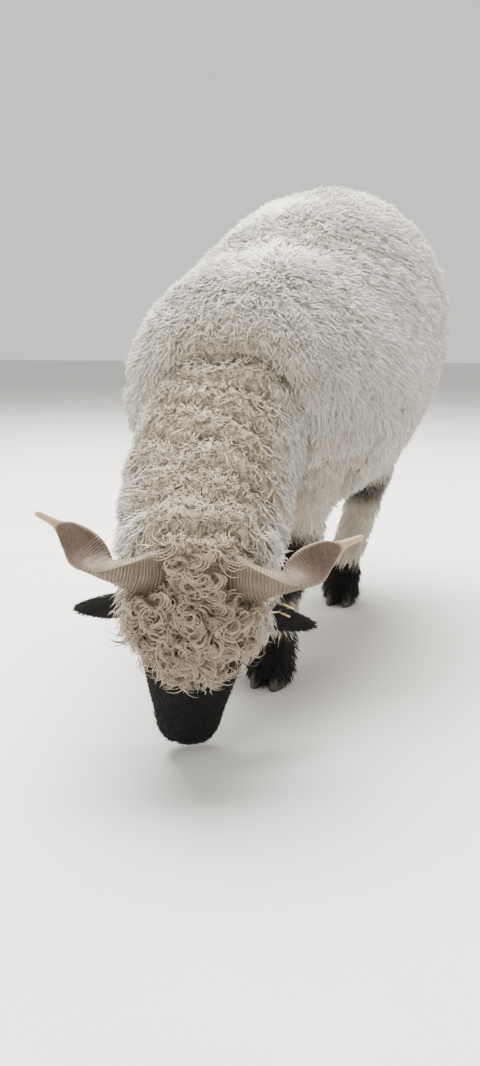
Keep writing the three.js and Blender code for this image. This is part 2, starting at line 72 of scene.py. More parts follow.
# The solids' own measuring point: the outer claw of the left fore foot, before the model was centred
CLAW_CORNER = Vector((0.0605, -0.325, 0.0))
CLAW_NODE = "hoof_fore_left_outer"
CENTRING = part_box(CLAW_NODE)[0] - CLAW_CORNER
CENTRING.z = 0

# Where the head is and how it is held
POLL = Vector((0.060, -0.572, 0.285))
HEAD_YAW = 22
HEAD_PITCH = 97
HEAD_LEAN = 4.5
HEAD_LENGTH = 275

# The camera, worked out from the photograph
CAMERA_SIDE = 22
CAMERA_DOWN = 13
CAMERA_PLACE = Vector((0.483, -1.476, 0.550))
FOCAL_PIXELS = 802
PICTURE_HEIGHT = 1066
SENSOR = 36


class Region(Enum):
    """The parts of the coat, each with its own wool or hair."""

    TRUNK = 0
    NECK = 1
    TAIL = 2
    LEG = 3
    FOOT = 4
    FORELOCK = 5
    CHEEK = 6
    FACE = 7


class Finish(Enum):
    """The record's material slots that the pieces take their finish from."""

    WOOL = "white_wool"
    CURLS = "curled_wool"
    HAIR = "black_hair"
    HORN = "horn"
    HOOF = "hoof_horn"
    EYE = "eye"
    TAG = "tag_plastic"


# Numbers


def unit(vectors: Array) -> Array:
    """Vectors scaled to length one."""
    return vectors / np.maximum(np.linalg.norm(vectors, axis=-1, keepdims=True), 1e-9)


def eased(value: Array, low: float, high: float) -> Array:
    """A soft step from 0 at low to 1 at high."""
    share = np.clip((value - low) / (high - low), 0, 1)
    return share * share * (3 - 2 * share)


def near(points: Array, centre: tuple[float, ...], radius: float) -> Array:
    """A soft blob, 1 at its centre.

    Args:
        points: places to read it at.
        centre: the middle of the blob.
        radius: where it has fallen to about a third.

    Returns:
        One value for each point.
    """
    away = np.linalg.norm(points - np.array(centre), axis=-1)
    return np.exp(-((away / radius) ** 2))


def value_noise(points: Array, period: float, seed: int) -> Array:
    """Smooth noise in space, between -1 and 1.

    Args:
        points: places to read it at.
        period: size of one cell, in metres.
        seed: picks the pattern.

    Returns:
        One value for each point.
    """
    cell = points / period
    base = np.floor(cell).astype(np.int64)
    ease = cell - base
    ease = ease * ease * (3 - 2 * ease)
    total = np.zeros(len(points))
    by_x, by_y, by_z, by_seed = SCRAMBLE
    for corner in itertools.product((0, 1), repeat=3):
        x, y, z = (base + corner).T
        mixed = (x * by_x ^ y * by_y ^ z * by_z ^ seed * by_seed) & LARGEST
        mixed = (mixed * 1103515245 + 12345) & LARGEST
        mixed ^= mixed >> 15
        mixed = (mixed * 2246822519) & LARGEST
        weight = np.where(corner, ease, 1 - ease).prod(axis=1)
        total += weight * (mixed / (LARGEST // 2) - 1)
    return total


# Meshes


def mesh_from(name: str, points: Array, faces: list[Array]) -> bpy.types.Object:
    """A smooth mesh object, linked to the scene.

    Args:
        name: its name.
        points: its points, in metres.
        faces: arrays of faces, each with one count of corners.

    Returns:
        The new object.
    """
    mesh = bpy.data.meshes.new(name)
    corners = np.concatenate([block.ravel() for block in faces]).astype(np.int32)
    counts = np.concatenate([np.full(len(block), block.shape[1]) for block in faces])
    starts = np.concatenate([[0], np.cumsum(counts)[:-1]]).astype(np.int32)
    mesh.vertices.add(len(points))
    mesh.vertices.foreach_set("co", points.astype(np.float32).ravel())
    mesh.loops.add(len(corners))
    mesh.loops.foreach_set("vertex_index", corners)
    mesh.polygons.add(len(counts))
    mesh.polygons.foreach_set("loop_start", starts)
    mesh.update(calc_edges=True)
    mesh.shade_smooth()
    made = bpy.data.objects.new(name, mesh)
    bpy.context.scene.collection.objects.link(made)
    return made


def tube_faces(rings: int, sides: int, first: int = 0) -> list[Array]:
    """Faces of a closed tube over rings of points, with flat ends.

    Args:
        rings: how many rings.
        sides: points in each ring.
        first: number of the first point.

    Returns:
        The walls, and the two ends.
    """
    at = first + np.arange(rings * sides).reshape(rings, sides)
    ahead = np.roll(at, -1, axis=1)
    walls = np.stack([at[:-1], ahead[:-1], ahead[1:], at[1:]], axis=-1).reshape(-1, 4)
    return [walls, np.stack([at[0][::-1], at[-1]])]


def store(piece: bpy.types.Object, **values: Array) -> None:
    """Keeps values on a mesh's points, for its material to read.

    Args:
        piece: the mesh object.
        values: a value, or a vector, for each point, by name.
    """
    for name, value in values.items():
        kind = "FLOAT" if value.ndim == 1 else "FLOAT_VECTOR"
        key = "value" if value.ndim == 1 else "vector"
        layer = piece.data.attributes.new(name, kind, "POINT")
        layer.data.foreach_set(key, value.astype(np.float32).ravel())


def points_of(piece: bpy.types.Object) -> Array:
    """The points of a mesh object.

    Args:
        piece: the mesh object.

    Returns:
        One row for each point.
    """
    flat = np.empty(len(piece.data.vertices) * 3, np.float32)
    piece.data.vertices.foreach_get("co", flat)
    return flat.reshape(-1, 3).astype(float)


def normals_of(piece: bpy.types.Object) -> Array:
    """The way out of a mesh object's surface at each point.

    Args:
        piece: the mesh object.

    Returns:
        One vector of length one for each point.
    """
    flat = np.empty(len(piece.data.vertices) * 3, np.float32)
    piece.data.vertices.foreach_get("normal", flat)
    return unit(flat.reshape(-1, 3).astype(float))


def settled(piece: bpy.types.Object) -> bpy.types.Object:
    """The piece with its modifiers applied.

    Args:
        piece: a mesh object with modifiers.

    Returns:
        The same object.
    """
    graph = bpy.context.evaluated_depsgraph_get()
    mesh = bpy.data.meshes.new_from_object(piece.evaluated_get(graph))
    piece.modifiers.clear()
    piece.data = mesh
    piece.data.shade_smooth()
    return piece


def hand_over(piece: bpy.types.Object, material: bpy.types.Material) -> bpy.types.Object:
    """Dresses a piece, fixes it to the body and reports it.

    Args:
        piece: a finished mesh object.
        material: its material.

    Returns:
        The same piece.
    """
    piece.data.materials.clear()
    piece.data.materials.append(material)
    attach(piece, BODY)
    log.info("%s: %d faces", piece.name, len(piece.data.polygons))
    return piece


# The body's forms


def matrix_rows(matrix: Matrix) -> Array:
    """A matrix as an array."""
    return np.array([list(row) for row in matrix])


def turn(degrees: float, axis: str) -> Matrix:
    """A rotation about a named axis."""
    return Matrix.Rotation(math.radians(degrees), 4, axis)


BODY_PLACE = matrix_rows(Matrix.Translation(CENTRING))
HEAD_PLACE = matrix_rows(
    Matrix.Translation(CENTRING + POLL) @ turn(HEAD_YAW, "Z") @ turn(HEAD_PITCH, "X") @ turn(-HEAD_LEAN, "Z")
)


def placed(points: Array, place: Array) -> Array:
    """Points moved by a matrix."""
    return points @ place[:3, :3].T + place[:3, 3]


def unplaced(points: Array, place: Array) -> Array:
    """Points taken back to a part's own axes."""
    return (points - place[:3, 3]) @ place[:3, :3]


class Form:
    """A limb or trunk: elliptic sections along a path, as the solids have them."""

    def __init__(
        self, region: Region, rows: Rows, hint: tuple[float, ...], depth: float, place: Array
    ) -> None:
        """Keeps the sections.

        Args:
            region: which coat it carries.
            rows: for each section its centre, half width, and reach up and down, in millimetres.
            hint: the way that is up across the path.
            depth: how far the skin lies inside the outline, in metres.
            place: where the form's own axes are.
        """
        self.region = region
        self.rows = np.array(rows, float) * MM
        self.hint = np.array(hint, float)
        self.depth = depth
        self.place = place

    def section(self, t: Array) -> Array:
        """Centre, half width and reaches at shares t of the length.

        Args:
            t: shares of the length, 0 to 1.

        Returns:
            One row for each share, in metres.
        """
        rows = self.rows
        along = np.clip(t, 0, 1) * (len(rows) - 1)
        i = np.minimum(along.astype(int), len(rows) - 2)
        s = (along - i)[:, None]
        a, b, c, d = (rows[np.clip(i + k, 0, len(rows) - 1)] for k in (-1, 0, 1, 2))
        return b + 0.5 * s * (c - a + s * (2 * a - 5 * b + 4 * c - d + s * (3 * (b - c) + d - a)))

    def points(self, t: Array, angle: Array, inset: float) -> Array:
        """Places on the outline.

        Args:
            t: shares of the length.
            angle: turn from the left side towards up, in radians.
            inset: how far inside the outline.

        Returns:
            The places in the frame's axes.
        """
        step = 0.02
        ahead = self.section(np.minimum(t + step, 1))[:, :3]
        run = unit(ahead - self.section(np.maximum(t - step, 0))[:, :3])
        side = unit(np.cross(self.hint, run))
        up = np.cross(run, side)
        middle = self.section(t)
        least = 2 * MM
        across = np.maximum(middle[:, 3] - inset, least) * np.cos(angle)
        rise = np.where(np.sin(angle) > 0, middle[:, 4], middle[:, 5])
        rise = np.maximum(rise - inset, least) * np.sin(angle)
        return placed(middle[:, :3] + side * across[:, None] + up * rise[:, None], self.place)

    def grid(self, rings: int, sides: int, inset: float) -> Array:
        """Rings of points over the whole form.

        Args:
            rings: how many rings.
            sides: points in each.
            inset: how far inside the outline.

        Returns:
            The points, ring by ring.
        """
        t = np.repeat(np.linspace(0, 1, rings), sides)
        angle = np.tile(np.arange(sides) * 2 * np.pi / sides, rings)
        return self.points(t, angle, inset)


UP, FORWARD, BACK = (0, 0, 1), (0, -1, 0), (0, 1, 0)
RUMP, WITHERS, BELLY, HALF_WIDTH = 860, 690, 250, 246


def trunk_form() -> Form:
    """The trunk in its fleece, from the rump to the brisket."""
    rows = [
        (0, 462, 590, 60, 66, 66),
        (0, 430, 592, 145, 160, 150),
        (0, 350, 595, 212, 236, 225),
        (0, 220, 590, HALF_WIDTH - 2, RUMP - 590, 280),
        (0, 60, 545, HALF_WIDTH, 262, 545 - BELLY),
        (0, -90, 500, HALF_WIDTH - 2, 228, 500 - BELLY),
        (0, -210, 470, 232, WITHERS - 480, 205),
        (0, -300, 452, 178, 160, 150),
        (0, -350, 440, 82, 75, 75),
    ]
    return Form(Region.TRUNK, rows, UP, 38 * MM, BODY_PLACE)


def neck_form() -> Form:
    """The neck in its wool, from inside the shoulders to the poll."""
    rows = [
        (0, -150, 560, 118, 92, 80),
        (0, -245, 500, 132, 108, 100),
        (3, -345, 430, 130, 106, 116),
        (14, -435, 358, 125, 100, 112),
        (40, -515, 298, 118, 84, 98),
        (56, -556, 264, 96, 64, 76),
    ]
    return Form(Region.NECK, rows, UP, 24 * MM, BODY_PLACE)


def forelock_form() -> Form:
    """The forelock's bed over the forehead, in the head's axes."""
    rows = [
        (0, 34, 30, 48, 26, 30),
        (0, 8, 34, 84, 40, 36),
        (0, -36, 40, 100, 46, 34),
        (0, -82, 42, 92, 40, 24),
        (0, -120, 38, 62, 34, 24),
        (0, -148, 34, 40, 24, 22),
        (0, -162, 30, 22, 12, 12),
    ]
    return Form(Region.FORELOCK, rows, UP, 15 * MM, HEAD_PLACE)


def cheek_form() -> Form:
    """The woolly cheeks and throat, in the head's axes."""
    rows = [
        (0, 56, -30, 70, 50, 50),
        (0, 16, -30, 104, 72, 74),
        (0, -40, -36, 113, 66, 82),
        (0, -78, -48, 102, 54, 72),
        (0, -108, -58, 78, 34, 56),
        (0, -132, -66, 38, 16, 28),
    ]
    return Form(Region.CHEEK, rows, UP, 18 * MM, HEAD_PLACE)


def skull_form() -> Form:
    """The head under its hair, in its own axes."""
    rows = [
        (0, 40, 0, 40, 26, 40),
        (0, 0, 0, 58, 42, 62),
        (0, -45, 0, 66, 50, 82),
        (0, -88, 0, 67, 47, 88),
        (0, -132, 0, 66, 39, 80),
        (0, -176, 0, 60, 34, 68),
        (0, -214, 0, 52, 31, 54),
        (0, -248, 0, 43, 28, 44),
        (0, 7 - HEAD_LENGTH, 0, 30, 18, 28),
        (0, -HEAD_LENGTH, 0, 12, 8, 12),
    ]
    return Form(Region.FACE, rows, UP, 1.5 * MM, HEAD_PLACE)


def tail_form() -> Form:
    """The woolly tail, hanging close behind."""
    rows = [
        (0, 424, 690, 34, 34, 34),
        (0, 458, 640, 52, 46, 44),
        (0, 478, 560, 56, 44, 44),
        (0, 480, 470, 50, 40, 42),
        (0, 474, 400, 32, 26, 26),
        (0, 470, 384, 10, 8, 8),
    ]
    return Form(Region.TAIL, rows, BACK, 17 * MM, BODY_PLACE)


@dataclass(frozen=True)
class Leg:
    """One leg's places, in millimetres: its foot on the floor, its top and its knee or hock."""

    name: str
    x: float
    y: float
    top: Triple
    joint: Triple
    fetlock: float = 92

    @property
    def hind(self) -> bool:
        """Whether it is a hind leg."""
        return self.name.startswith("hind")

    def leg_form(self) -> Form:
        """The woolly leg, from inside the fleece to the fetlock."""
        upper = [(a + b) / 2 for a, b in zip(self.top, self.joint)]
        thigh = 92 if self.hind else 74
        calf, shin = (70, 74) if self.hind else (60, 60)
        ankle = (self.x, self.y + 22, self.fetlock)
        cannon = ((self.joint[0] + ankle[0]) / 2, (self.joint[1] + ankle[1]) / 2, 165)
        rows = [
            (*self.top, 66, thigh, thigh),
            (*upper, 56, calf, shin),
            (*self.joint, 42, 42, 46),
            (*cannon, 38, 38, 40),
            (*ankle, 37, 37, 40),
        ]
        return Form(Region.LEG, rows, FORWARD, 12 * MM, BODY_PLACE)

    def foot_form(self) -> Form:
        """The hairy pastern over the two claws."""
        x, y, z = self.x, self.y, self.fetlock
        rows = [
            (x, y + 22, z + 22, 26, 26, 28),
            (x, y + 20, z - 8, 38, 37, 41),
            (x, y + 8, 56, 40, 40, 42),
            (x, y - 2, 24, 41, 44, 42),
            (x, y - 4, 14, 36, 38, 36),
        ]
        return Form(Region.FOOT, rows, FORWARD, 8 * MM, BODY_PLACE)


LEGS = [
    Leg("fore_left", 57, -284, (104, -220, 400), (86, -282, 226)),
    Leg("fore_right", -92, -262, (-108, -216, 400), (-98, -262, 226)),
    Leg("hind_left", 53, 186, (118, 240, 440), (86, 250, 240)),
    Leg("hind_right", -104, 296, (-124, 262, 440), (-112, 348, 246)),
]


# Ears


@dataclass(frozen=True)
class Ear:
    """A cupped leaf of an ear, in the head's axes, in millimetres."""

    side: int
    length: float = 128
    half_width: float = 25
    thick: float = 5
    root: Triple = (50, -56, -14)
    tip: Triple = (172, -114, -36)
    facing: Triple = (0, -0.6, 1)

    def axes(self) -> tuple[Array, Array, Array, Array]:
        """The ear's root, and the ways along it, out of its hollow face and across it.

        Returns:
            The root in millimetres, and three vectors of length one.
        """
        flip = np.array([self.side, 1, 1])
        base = np.array(self.root) * flip
        run = unit(np.array(self.tip) * flip - base)
        facing = np.array(self.facing)
        front = unit(facing - run * (facing @ run))
        return base, run, front, np.cross(run, front)

    def half(self, s: Array) -> Array:
        """Half the ear's width at shares s of its length."""
        leaf = 0.42 + 0.58 * np.sin(np.pi * np.minimum(1, 0.12 + 0.6 * s + 0.1 * s * s))
        return self.half_width * leaf * np.sqrt(np.maximum(1 - s**5, 0.02))

    def points(self, s: Array, v: Array, offset: Array) -> Array:
        """Places on the ear.

        Args:
            s: shares of its length.
            v: places across it, -1 to 1.
            offset: how far off its middle sheet, in shares of half its thickness.

        Returns:
            The places in the frame's axes, in metres.
        """
        base, run, front, across = self.axes()
        half = self.half(s)
        depth = half * (0.8 - 0.5 * s)
        thick = self.thick * (1 - 0.4 * s) * np.sqrt(np.maximum(1 - v**4, 0.06))
        tilt = np.arctan2(2 * v * depth, half)
        lift = offset * thick / 2
        along = (s * self.length)[:, None] * run
        sideways = (v * half - np.sin(tilt) * lift)[:, None] * across
        out = (depth * (v * v - 0.4) - 10 * s * s + np.cos(tilt) * lift)[:, None] * front
        return placed((base + along + sideways + out) * MM, HEAD_PLACE)

    def shell(self, first: int) -> tuple[Array, list[Array]]:
        """The ear's closed skin.

        Args:
            first: number of its first point in the mesh it joins.

        Returns:
            Its points and faces.
        """
        rings, columns = 36, 18
        s = np.repeat(np.linspace(0, 1, rings), 2 * columns)
        v = np.linspace(-1, 1, columns)
        v = np.tile(np.concatenate([v, v[::-1]]), rings)
        offset = np.tile(np.repeat([1.0, -1.0], columns), rings)
        return self.points(s, v, offset), tube_faces(rings, 2 * columns, first)


# The skin


@dataclass(frozen=True)
class Features:
    """What is modelled on the face, in the head's axes, in metres."""

    eye: Triple = (0.0525, -0.106, 0.008)
    eye_radius: float = 0.0135
    nostril: Triple = (0.0135, -0.2685, 0.009)
    mouth_corner: tuple[float, float] = (0.80, -24.0)
    mouth_front: tuple[float, float] = (0.985, -90.0)

    # Height, middle and radius of the brow, the cheekbone, the hollow before it, the side of the nose
    # and the nostril's wing
    swells: tuple[tuple[float, Triple, float], ...] = (
        (0.006, (0.046, -0.100, 0.032), 0.020),
        (0.004, (0.060, -0.140, -0.014), 0.026),
        (-0.005, (0.058, -0.128, 0.010), 0.014),
        (-0.003, (0.030, -0.215, -0.004), 0.024),
        (0.003, (0.016, -0.262, 0.012), 0.012),
    )


@dataclass
class Skin:
    """One skin under the whole coat, with the face's features on it."""

    features: Features = field(default_factory=Features)
    voxel: float = 0.008
    smoothing: int = 6
    face_rings: int = 210
    face_sides: int = 150
    horn_seat: float = 0.016

    def __post_init__(self) -> None:
        """Gathers the forms that the skin runs through."""
        self.neck = neck_form()
        self.skull = skull_form()
        self.forms = [trunk_form(), self.neck, tail_form(), forelock_form(), cheek_form()]
        for leg in LEGS:
            self.forms += [leg.leg_form(), leg.foot_form()]

    @property
    def face_count(self) -> int:
        """How many of the head's points are the face's; the ears' come after them."""
        return self.face_rings * self.face_sides

    def body(self) -> bpy.types.Object:
        """The body's forms joined into one smooth surface.

        Returns:
            The skin, without the face and the ears.
        """
        blocks, faces, count = [], [], 0
        rings, sides = 48, 40
        for form in self.forms:
            blocks.append(form.grid(rings, sides, form.depth))
            faces += tube_faces(rings, sides, count)
            count += rings * sides
        made = mesh_from("skin", np.concatenate(blocks), faces)
        joined = made.modifiers.new("joined", "REMESH")
        joined.mode = "VOXEL"
        joined.voxel_size = self.voxel
        rounded = made.modifiers.new("rounded", "SMOOTH")
        rounded.iterations = self.smoothing
        settled(made)
        return made

    def fold(self, made: bpy.types.Object, chart: "Chart") -> None:
        """Draws transverse folds into the skin over the neck.

        Args:
            made: the body's skin.
            chart: where each of its points lies on the forms.
        """
        points, folds = points_of(made), Folds()
        points -= normals_of(made) * (folds.depth * folds.read(points, chart))[:, None]
        made.data.vertices.foreach_set("co", points.astype(np.float32).ravel())
        made.data.update()

    def seat_horns(self, made: bpy.types.Object) -> None:
        """Lowers the skin round the roots of the horns, so that they stand free of the wool.

        Args:
            made: the body's skin.
        """
        own = unplaced(points_of(made), HEAD_PLACE)
        aside, along = np.abs(own[:, 0]), np.abs(own[:, 1] + 0.008)
        seat = eased(aside, 0.014, 0.030) * (1 - eased(along, 0.026, 0.036)) * (own[:, 2] > 0)
        own[:, 2] -= self.horn_seat * seat
        made.data.vertices.foreach_set("co", placed(own, HEAD_PLACE).astype(np.float32).ravel())
        made.data.update()

    def mouth_line(self) -> Array:
        """Points along the mouth, from corner to corner.

        Returns:
            The points, in the head's own axes.
        """
        k = np.linspace(-1, 1, 61)
        back = np.abs(k)
        corner, corner_angle = self.features.mouth_corner
        front, front_angle = self.features.mouth_front
        share = front + (corner - front) * back**1.4
        below = front_angle + (corner_angle - front_angle) * np.sqrt(back)
        angle = np.radians(np.where(k < 0, -180 - below, below))
        return unplaced(self.skull.points(share, angle, 0), HEAD_PLACE)

    def face(self) -> Array:
        """Points of the face, with brows, cheekbones, lids, nostrils, mouth and lips drawn in.

        Returns:
            The points, ring by ring.
        """
        rings, sides = self.face_rings, self.face_sides
        t = np.repeat(np.linspace(0, 1, rings) ** 0.92, sides)
        angle = np.tile(np.arange(sides) * 2 * np.pi / sides, rings)
        points = unplaced(self.skull.points(t, angle, self.skull.depth), HEAD_PLACE)
        out = unit(points - unplaced(self.skull.points(t, angle, 20 * MM), HEAD_PLACE))
        mirrored = points.copy()
        mirrored[:, 0] = np.abs(mirrored[:, 0])
        eye = self.features.eye
        x, y, z = mirrored.T
        lift = sum(height * near(mirrored, middle, radius) for height, middle, radius in self.features.swells)
        around = np.hypot(y - eye[1], (z - eye[2]) * 1.35)
        lift += 0.0032 * np.exp(-(((around - 0.0165) / 0.0045) ** 2)) * (x > 0.03)
        lift -= 0.006 * np.exp(-((around / 0.010) ** 4)) * (x > 0.03)
        slot = (mirrored - np.array(self.features.nostril)) @ matrix_rows(turn(35, "Z"))[:3, :3]
        hole = np.exp(-((slot[:, 0] / 0.0045) ** 2 + (slot[:, 1] / 0.0085) ** 2 + (slot[:, 2] / 0.006) ** 2))
        lift -= 0.008 * hole
        cleft = np.exp(-((x / 0.0022) ** 2)) * (y < -0.262) * eased(-z, -0.012, 0.0)
        lift -= 0.0022 * cleft
        line = self.mouth_line()
        away = np.sqrt(((points[:, None, :] - line[None, ::2, :]) ** 2).sum(-1)).min(axis=1)
        lift -= 0.0036 * np.exp(-((away / 0.0026) ** 2))
        lift += 0.0018 * np.exp(-(((away - 0.0075) / 0.004) ** 2))
        return placed(points + out * lift[:, None], HEAD_PLACE)

    def build(self) -> tuple[bpy.types.Object, bpy.types.Object, "Chart"]:
        """Makes the skin, its finely drawn head apart from the rest.

        Returns:
            The body's skin, the head's skin, and the chart of the body's points.
        """
        body = self.body()
        chart = Chart(points_of(body), [*self.forms, self.skull])
        self.fold(body, chart)
        self.seat_horns(body)
        dark, tint = Markings().read(points_of(body), chart)
        face_points = self.face()
        blocks, faces = [face_points], tube_faces(self.face_rings, self.face_sides)
        count = self.face_count
        for side in (LEFT, RIGHT):
            points, ear_faces = Ear(side).shell(count)
            blocks.append(points)
            faces += ear_faces
            count += len(points)
        head = mesh_from("skin_head", np.concatenate(blocks), faces)
        own = unplaced(np.concatenate(blocks), HEAD_PLACE)
        # Painted shade for the skin and the underwool lifted from it, through the material's root shade:
        # darker under the forelock's curls and under the darker wool.
        rise = 0.85 - 0.5 * chart.on(Region.FORELOCK) - 0.3 * eased(tint, 0.4, 0.6)
        store(body, dark=dark, tint=tint, rise=rise, draw=np.full(len(dark), 0.5))
        plain = np.ones(count)
        head_dark = eased(-own[:, 1], 0.045, 0.075)
        head_dark[self.face_count :] = 1
        # The head's skin takes an even painted shade from the same value.
        store(head, dark=head_dark, tint=plain, rise=plain * 0.7, draw=plain * 0.5)
        return body, head, chart


class Chart:
    """Where points of the skin lie on the body's forms."""

    def __init__(self, points: Array, forms: list[Form]) -> None:
        """Finds the nearest form, share of its length and angle for each point.

        Args:
            points: places on the skin.
            forms: the forms to look on.
        """
        rings, sides = 56, 44
        share = np.repeat(np.linspace(0, 1, rings), sides)
        angle = np.tile(np.arange(sides) * 2 * np.pi / sides, rings)
        tree = kdtree.KDTree(rings * sides * len(forms))
        for i, form in enumerate(forms):
            for j, place in enumerate(form.grid(rings, sides, form.depth)):
                tree.insert(place, i * rings * sides + j)
        tree.balance()
        found = np.array([tree.find(place)[1] for place in points])
        self.region = np.array([form.region.value for form in forms])[found // (rings * sides)]
        self.share = share[found % (rings * sides)]
        self.angle = angle[found % (rings * sides)]

    def on(self, *regions: Region) -> Array:
        """Whether each point lies on one of some regions."""
        return np.isin(self.region, [region.value for region in regions])


@dataclass(frozen=True)
class Underwool:
    """The felted inner wool, over which the locks stand. How far it stands off the skin, in metres."""

    lift: tuple[tuple[Region, float], ...] = (
        (Region.TRUNK, 0.032),
        (Region.NECK, 0.017),
        (Region.TAIL, 0.009),
        (Region.LEG, 0.005),
        (Region.FORELOCK, 0.006),
        (Region.CHEEK, 0.007),
    )
    sunk: float = -0.002
    lump: float = 0.0035
    lump_size: float = 0.026
    bare: float = 0.003
    rounds: int = 5

    def build(self, skin: bpy.types.Object, chart: Chart) -> bpy.types.Object:
        """Lifts a copy of the skin.

        Args:
            skin: the body's skin.
            chart: its points' places on the forms.

        Returns:
            The underwool.
        """
        points, out = points_of(skin), normals_of(skin)
        lift = np.full(len(points), self.sunk)
        for region, height in self.lift:
            lift[chart.on(region)] = height
        lift = self.spread(skin, lift)
        lumps = value_noise(points, self.lump_size, 51) + 0.5 * value_noise(points, self.lump_size / 2, 52)
        lift += self.lump * lumps * (lift > self.bare)
        made = skin.copy()
        made.data = skin.data.copy()
        made.name = "underwool"
        bpy.context.scene.collection.objects.link(made)
        made.data.vertices.foreach_set("co", (points + out * lift[:, None]).astype(np.float32).ravel())
        made.data.update()
        return made

    def spread(self, skin: bpy.types.Object, value: Array) -> Array:
        """Evens a value out over neighbouring points.

        Args:
            skin: the mesh they belong to.
            value: one value for each point.

        Returns:
            The evened values.
        """
        edges = np.empty(len(skin.data.edges) * 2, np.int32)
        skin.data.edges.foreach_get("vertices", edges)
        a, b = edges.reshape(-1, 2).T
        near_count = np.bincount(a, minlength=len(value)) + np.bincount(b, minlength=len(value))
        for _ in range(self.rounds):
            total = np.bincount(a, value[b], len(value)) + np.bincount(b, value[a], len(value))
            value = (value + total) / (1 + near_count)
        return value


@dataclass(frozen=True)
class Folds:
    """Loose folds across the top of the neck, before the shoulders. Lengths in metres."""

    depth: float = 0.020
    length: float = 0.040
    start: tuple[float, float] = (-0.53, -0.48)
    end: tuple[float, float] = (-0.37, -0.31)
    bow: float = 0.25

    def read(self, points: Array, chart: Chart) -> Array:
        """How deep in a fold each point lies, 0 to 1.

        Args:
            points: places on the skin.
            chart: their places on the forms.

        Returns:
            One value for each point.
        """
        own = unplaced(points, BODY_PLACE)
        line = own[:, 1] - self.bow * np.abs(own[:, 0]) + 0.02 * value_noise(points, 0.07, 5)
        window = eased(own[:, 1], *self.start) * (1 - eased(own[:, 1], *self.end))
        above = eased(np.sin(chart.angle), 0.15, 0.6)
        wave = (0.5 + 0.5 * np.cos(2 * np.pi * line / self.length)) ** 2.6
        uneven = 0.7 + 0.3 * value_noise(points, 0.06, 6)
        return wave * window * above * chart.on(Region.NECK, Region.TRUNK) * uneven


@dataclass(frozen=True)
class Markings:
    """Where the coat is black, where its wool is beige or carries stains, and where painted shade darkens it
    in the neck's folds and towards the belly. Lengths in metres.
    """

    rump_stain: Triple = (0.235, 0.31, 0.66)
    stain_radius: float = 0.085
    knee_height: tuple[float, float] = (0.15, 0.255)
    knee_back: float = 0.004
    hock_rise: float = 0.02
    hock_radius: float = 0.055
    foot_top: tuple[float, float] = (0.085, 0.105)
    face_top: tuple[float, float] = (0.05, 0.07)
    cheek_top: tuple[float, float] = (0.086, 0.096)

    def read(self, points: Array, chart: Chart) -> tuple[Array, Array]:
        """Reads the markings.

        Args:
            points: places on the skin.
            chart: their places on the forms.

        Returns:
            How black the coat is, and how far its wool goes towards the darker colour, by real stains and by
            painted shade.
        """
        own, head = unplaced(points, BODY_PLACE), unplaced(points, HEAD_PLACE)
        aside = np.abs(head[:, 0])
        rough = value_noise(points, 0.05, 21)
        height = own[:, 2] + 0.008 * rough
        low, high = self.knee_height
        band = eased(height, low - 0.02, low + 0.01) * (1 - eased(height, high - 0.01, high + 0.03))
        knee = max(leg.joint[1] for leg in LEGS if not leg.hind) * MM
        knees = band * (own[:, 1] < 0) * eased(knee + self.knee_back - own[:, 1], -0.012, 0.014)
        joints = [np.array(leg.joint) * MM + (0, 0, self.hock_rise) for leg in LEGS if leg.hind]
        patch = np.max([near(own, joint, self.hock_radius) for joint in joints], axis=0)
        hocks = np.clip(patch * 2.6 - 0.7, 0, 1) * (own[:, 1] > 0)
        feet = chart.on(Region.FOOT) * (1 - eased(height, *self.foot_top))
        face = chart.on(Region.FACE) * eased(-head[:, 1], *self.face_top)
        beside = (aside > self.forelock_half(head[:, 1])) * (head[:, 2] > -0.02)
        beside = beside * chart.on(Region.FORELOCK, Region.CHEEK)
        beside = beside * eased(-head[:, 1] + 0.006 * rough, *self.cheek_top)
        dark = (knees + hocks) * chart.on(Region.LEG) + feet + face + beside

        above = eased(np.sin(chart.angle), 0.0, 0.85)
        toward = eased(-own[:, 1], 0.27, 0.42)
        poll = eased(head[:, 1], 0.0, 0.03) * (1 - eased(aside, 0.06, 0.09))
        tint = 0.13 + 0.10 * value_noise(points, 0.11, 3)
        tint += 0.62 * above * toward * chart.on(Region.NECK, Region.TRUNK)
        # Painted shade in the creases of the neck's folds.
        tint += 0.5 * Folds().read(points, chart)
        tint += 0.55 * poll * chart.on(Region.CHEEK, Region.FACE)
        tint += 0.5 * near(own, self.rump_stain, self.stain_radius)
        # Painted shade on the trunk, darker towards the belly.
        tint += 0.42 * (1 - eased(own[:, 2], 0.28, 0.56)) * chart.on(Region.TRUNK)
        tint += 0.34 * chart.on(Region.LEG)
        tint += (0.45 + 0.45 * (1 - eased(aside, 0.07, 0.10))) * chart.on(Region.FORELOCK)
        return np.clip(dark, 0, 1), np.clip(tint, 0, 1)

    @staticmethod
    def forelock_half(along: Array) -> Array:
        """Half the width of the forelock at places along the head, narrowing down the face.

        Args:
            along: places along the head, in metres.

        Returns:
            One half width for each.
        """
        down = (0.04, 0.08, 0.11, 0.13, 0.145, 0.153)
        return np.interp(-along, down, (0.074, 0.066, 0.045, 0.032, 0.020, 0.0))


# Locks and tufts


@dataclass(frozen=True)
class LockStyle:
    """How one kind of lock grows. Lengths in metres, angles in degrees."""

    spacing: float
    length: float
    width: float
    flat: float = 0.6
    sides: int = 3
    steps: int = 4
    stand: tuple[float, float] = (80.0, 45.0)
    curl: float = 0.0
    crimp: float = 0.0
    waves: float = 2.0
    scatter: float = 20.0
    clump: float = 0.0
    clump_pull: float = 0.0
    vary: float = 0.2
    girth: tuple[float, ...] = (0.7, 1.0, 0.75, 0.0)
    pace: float = 0.8
    strands: int = 1
    loose: float = 0.0
    softness: float = 0.65


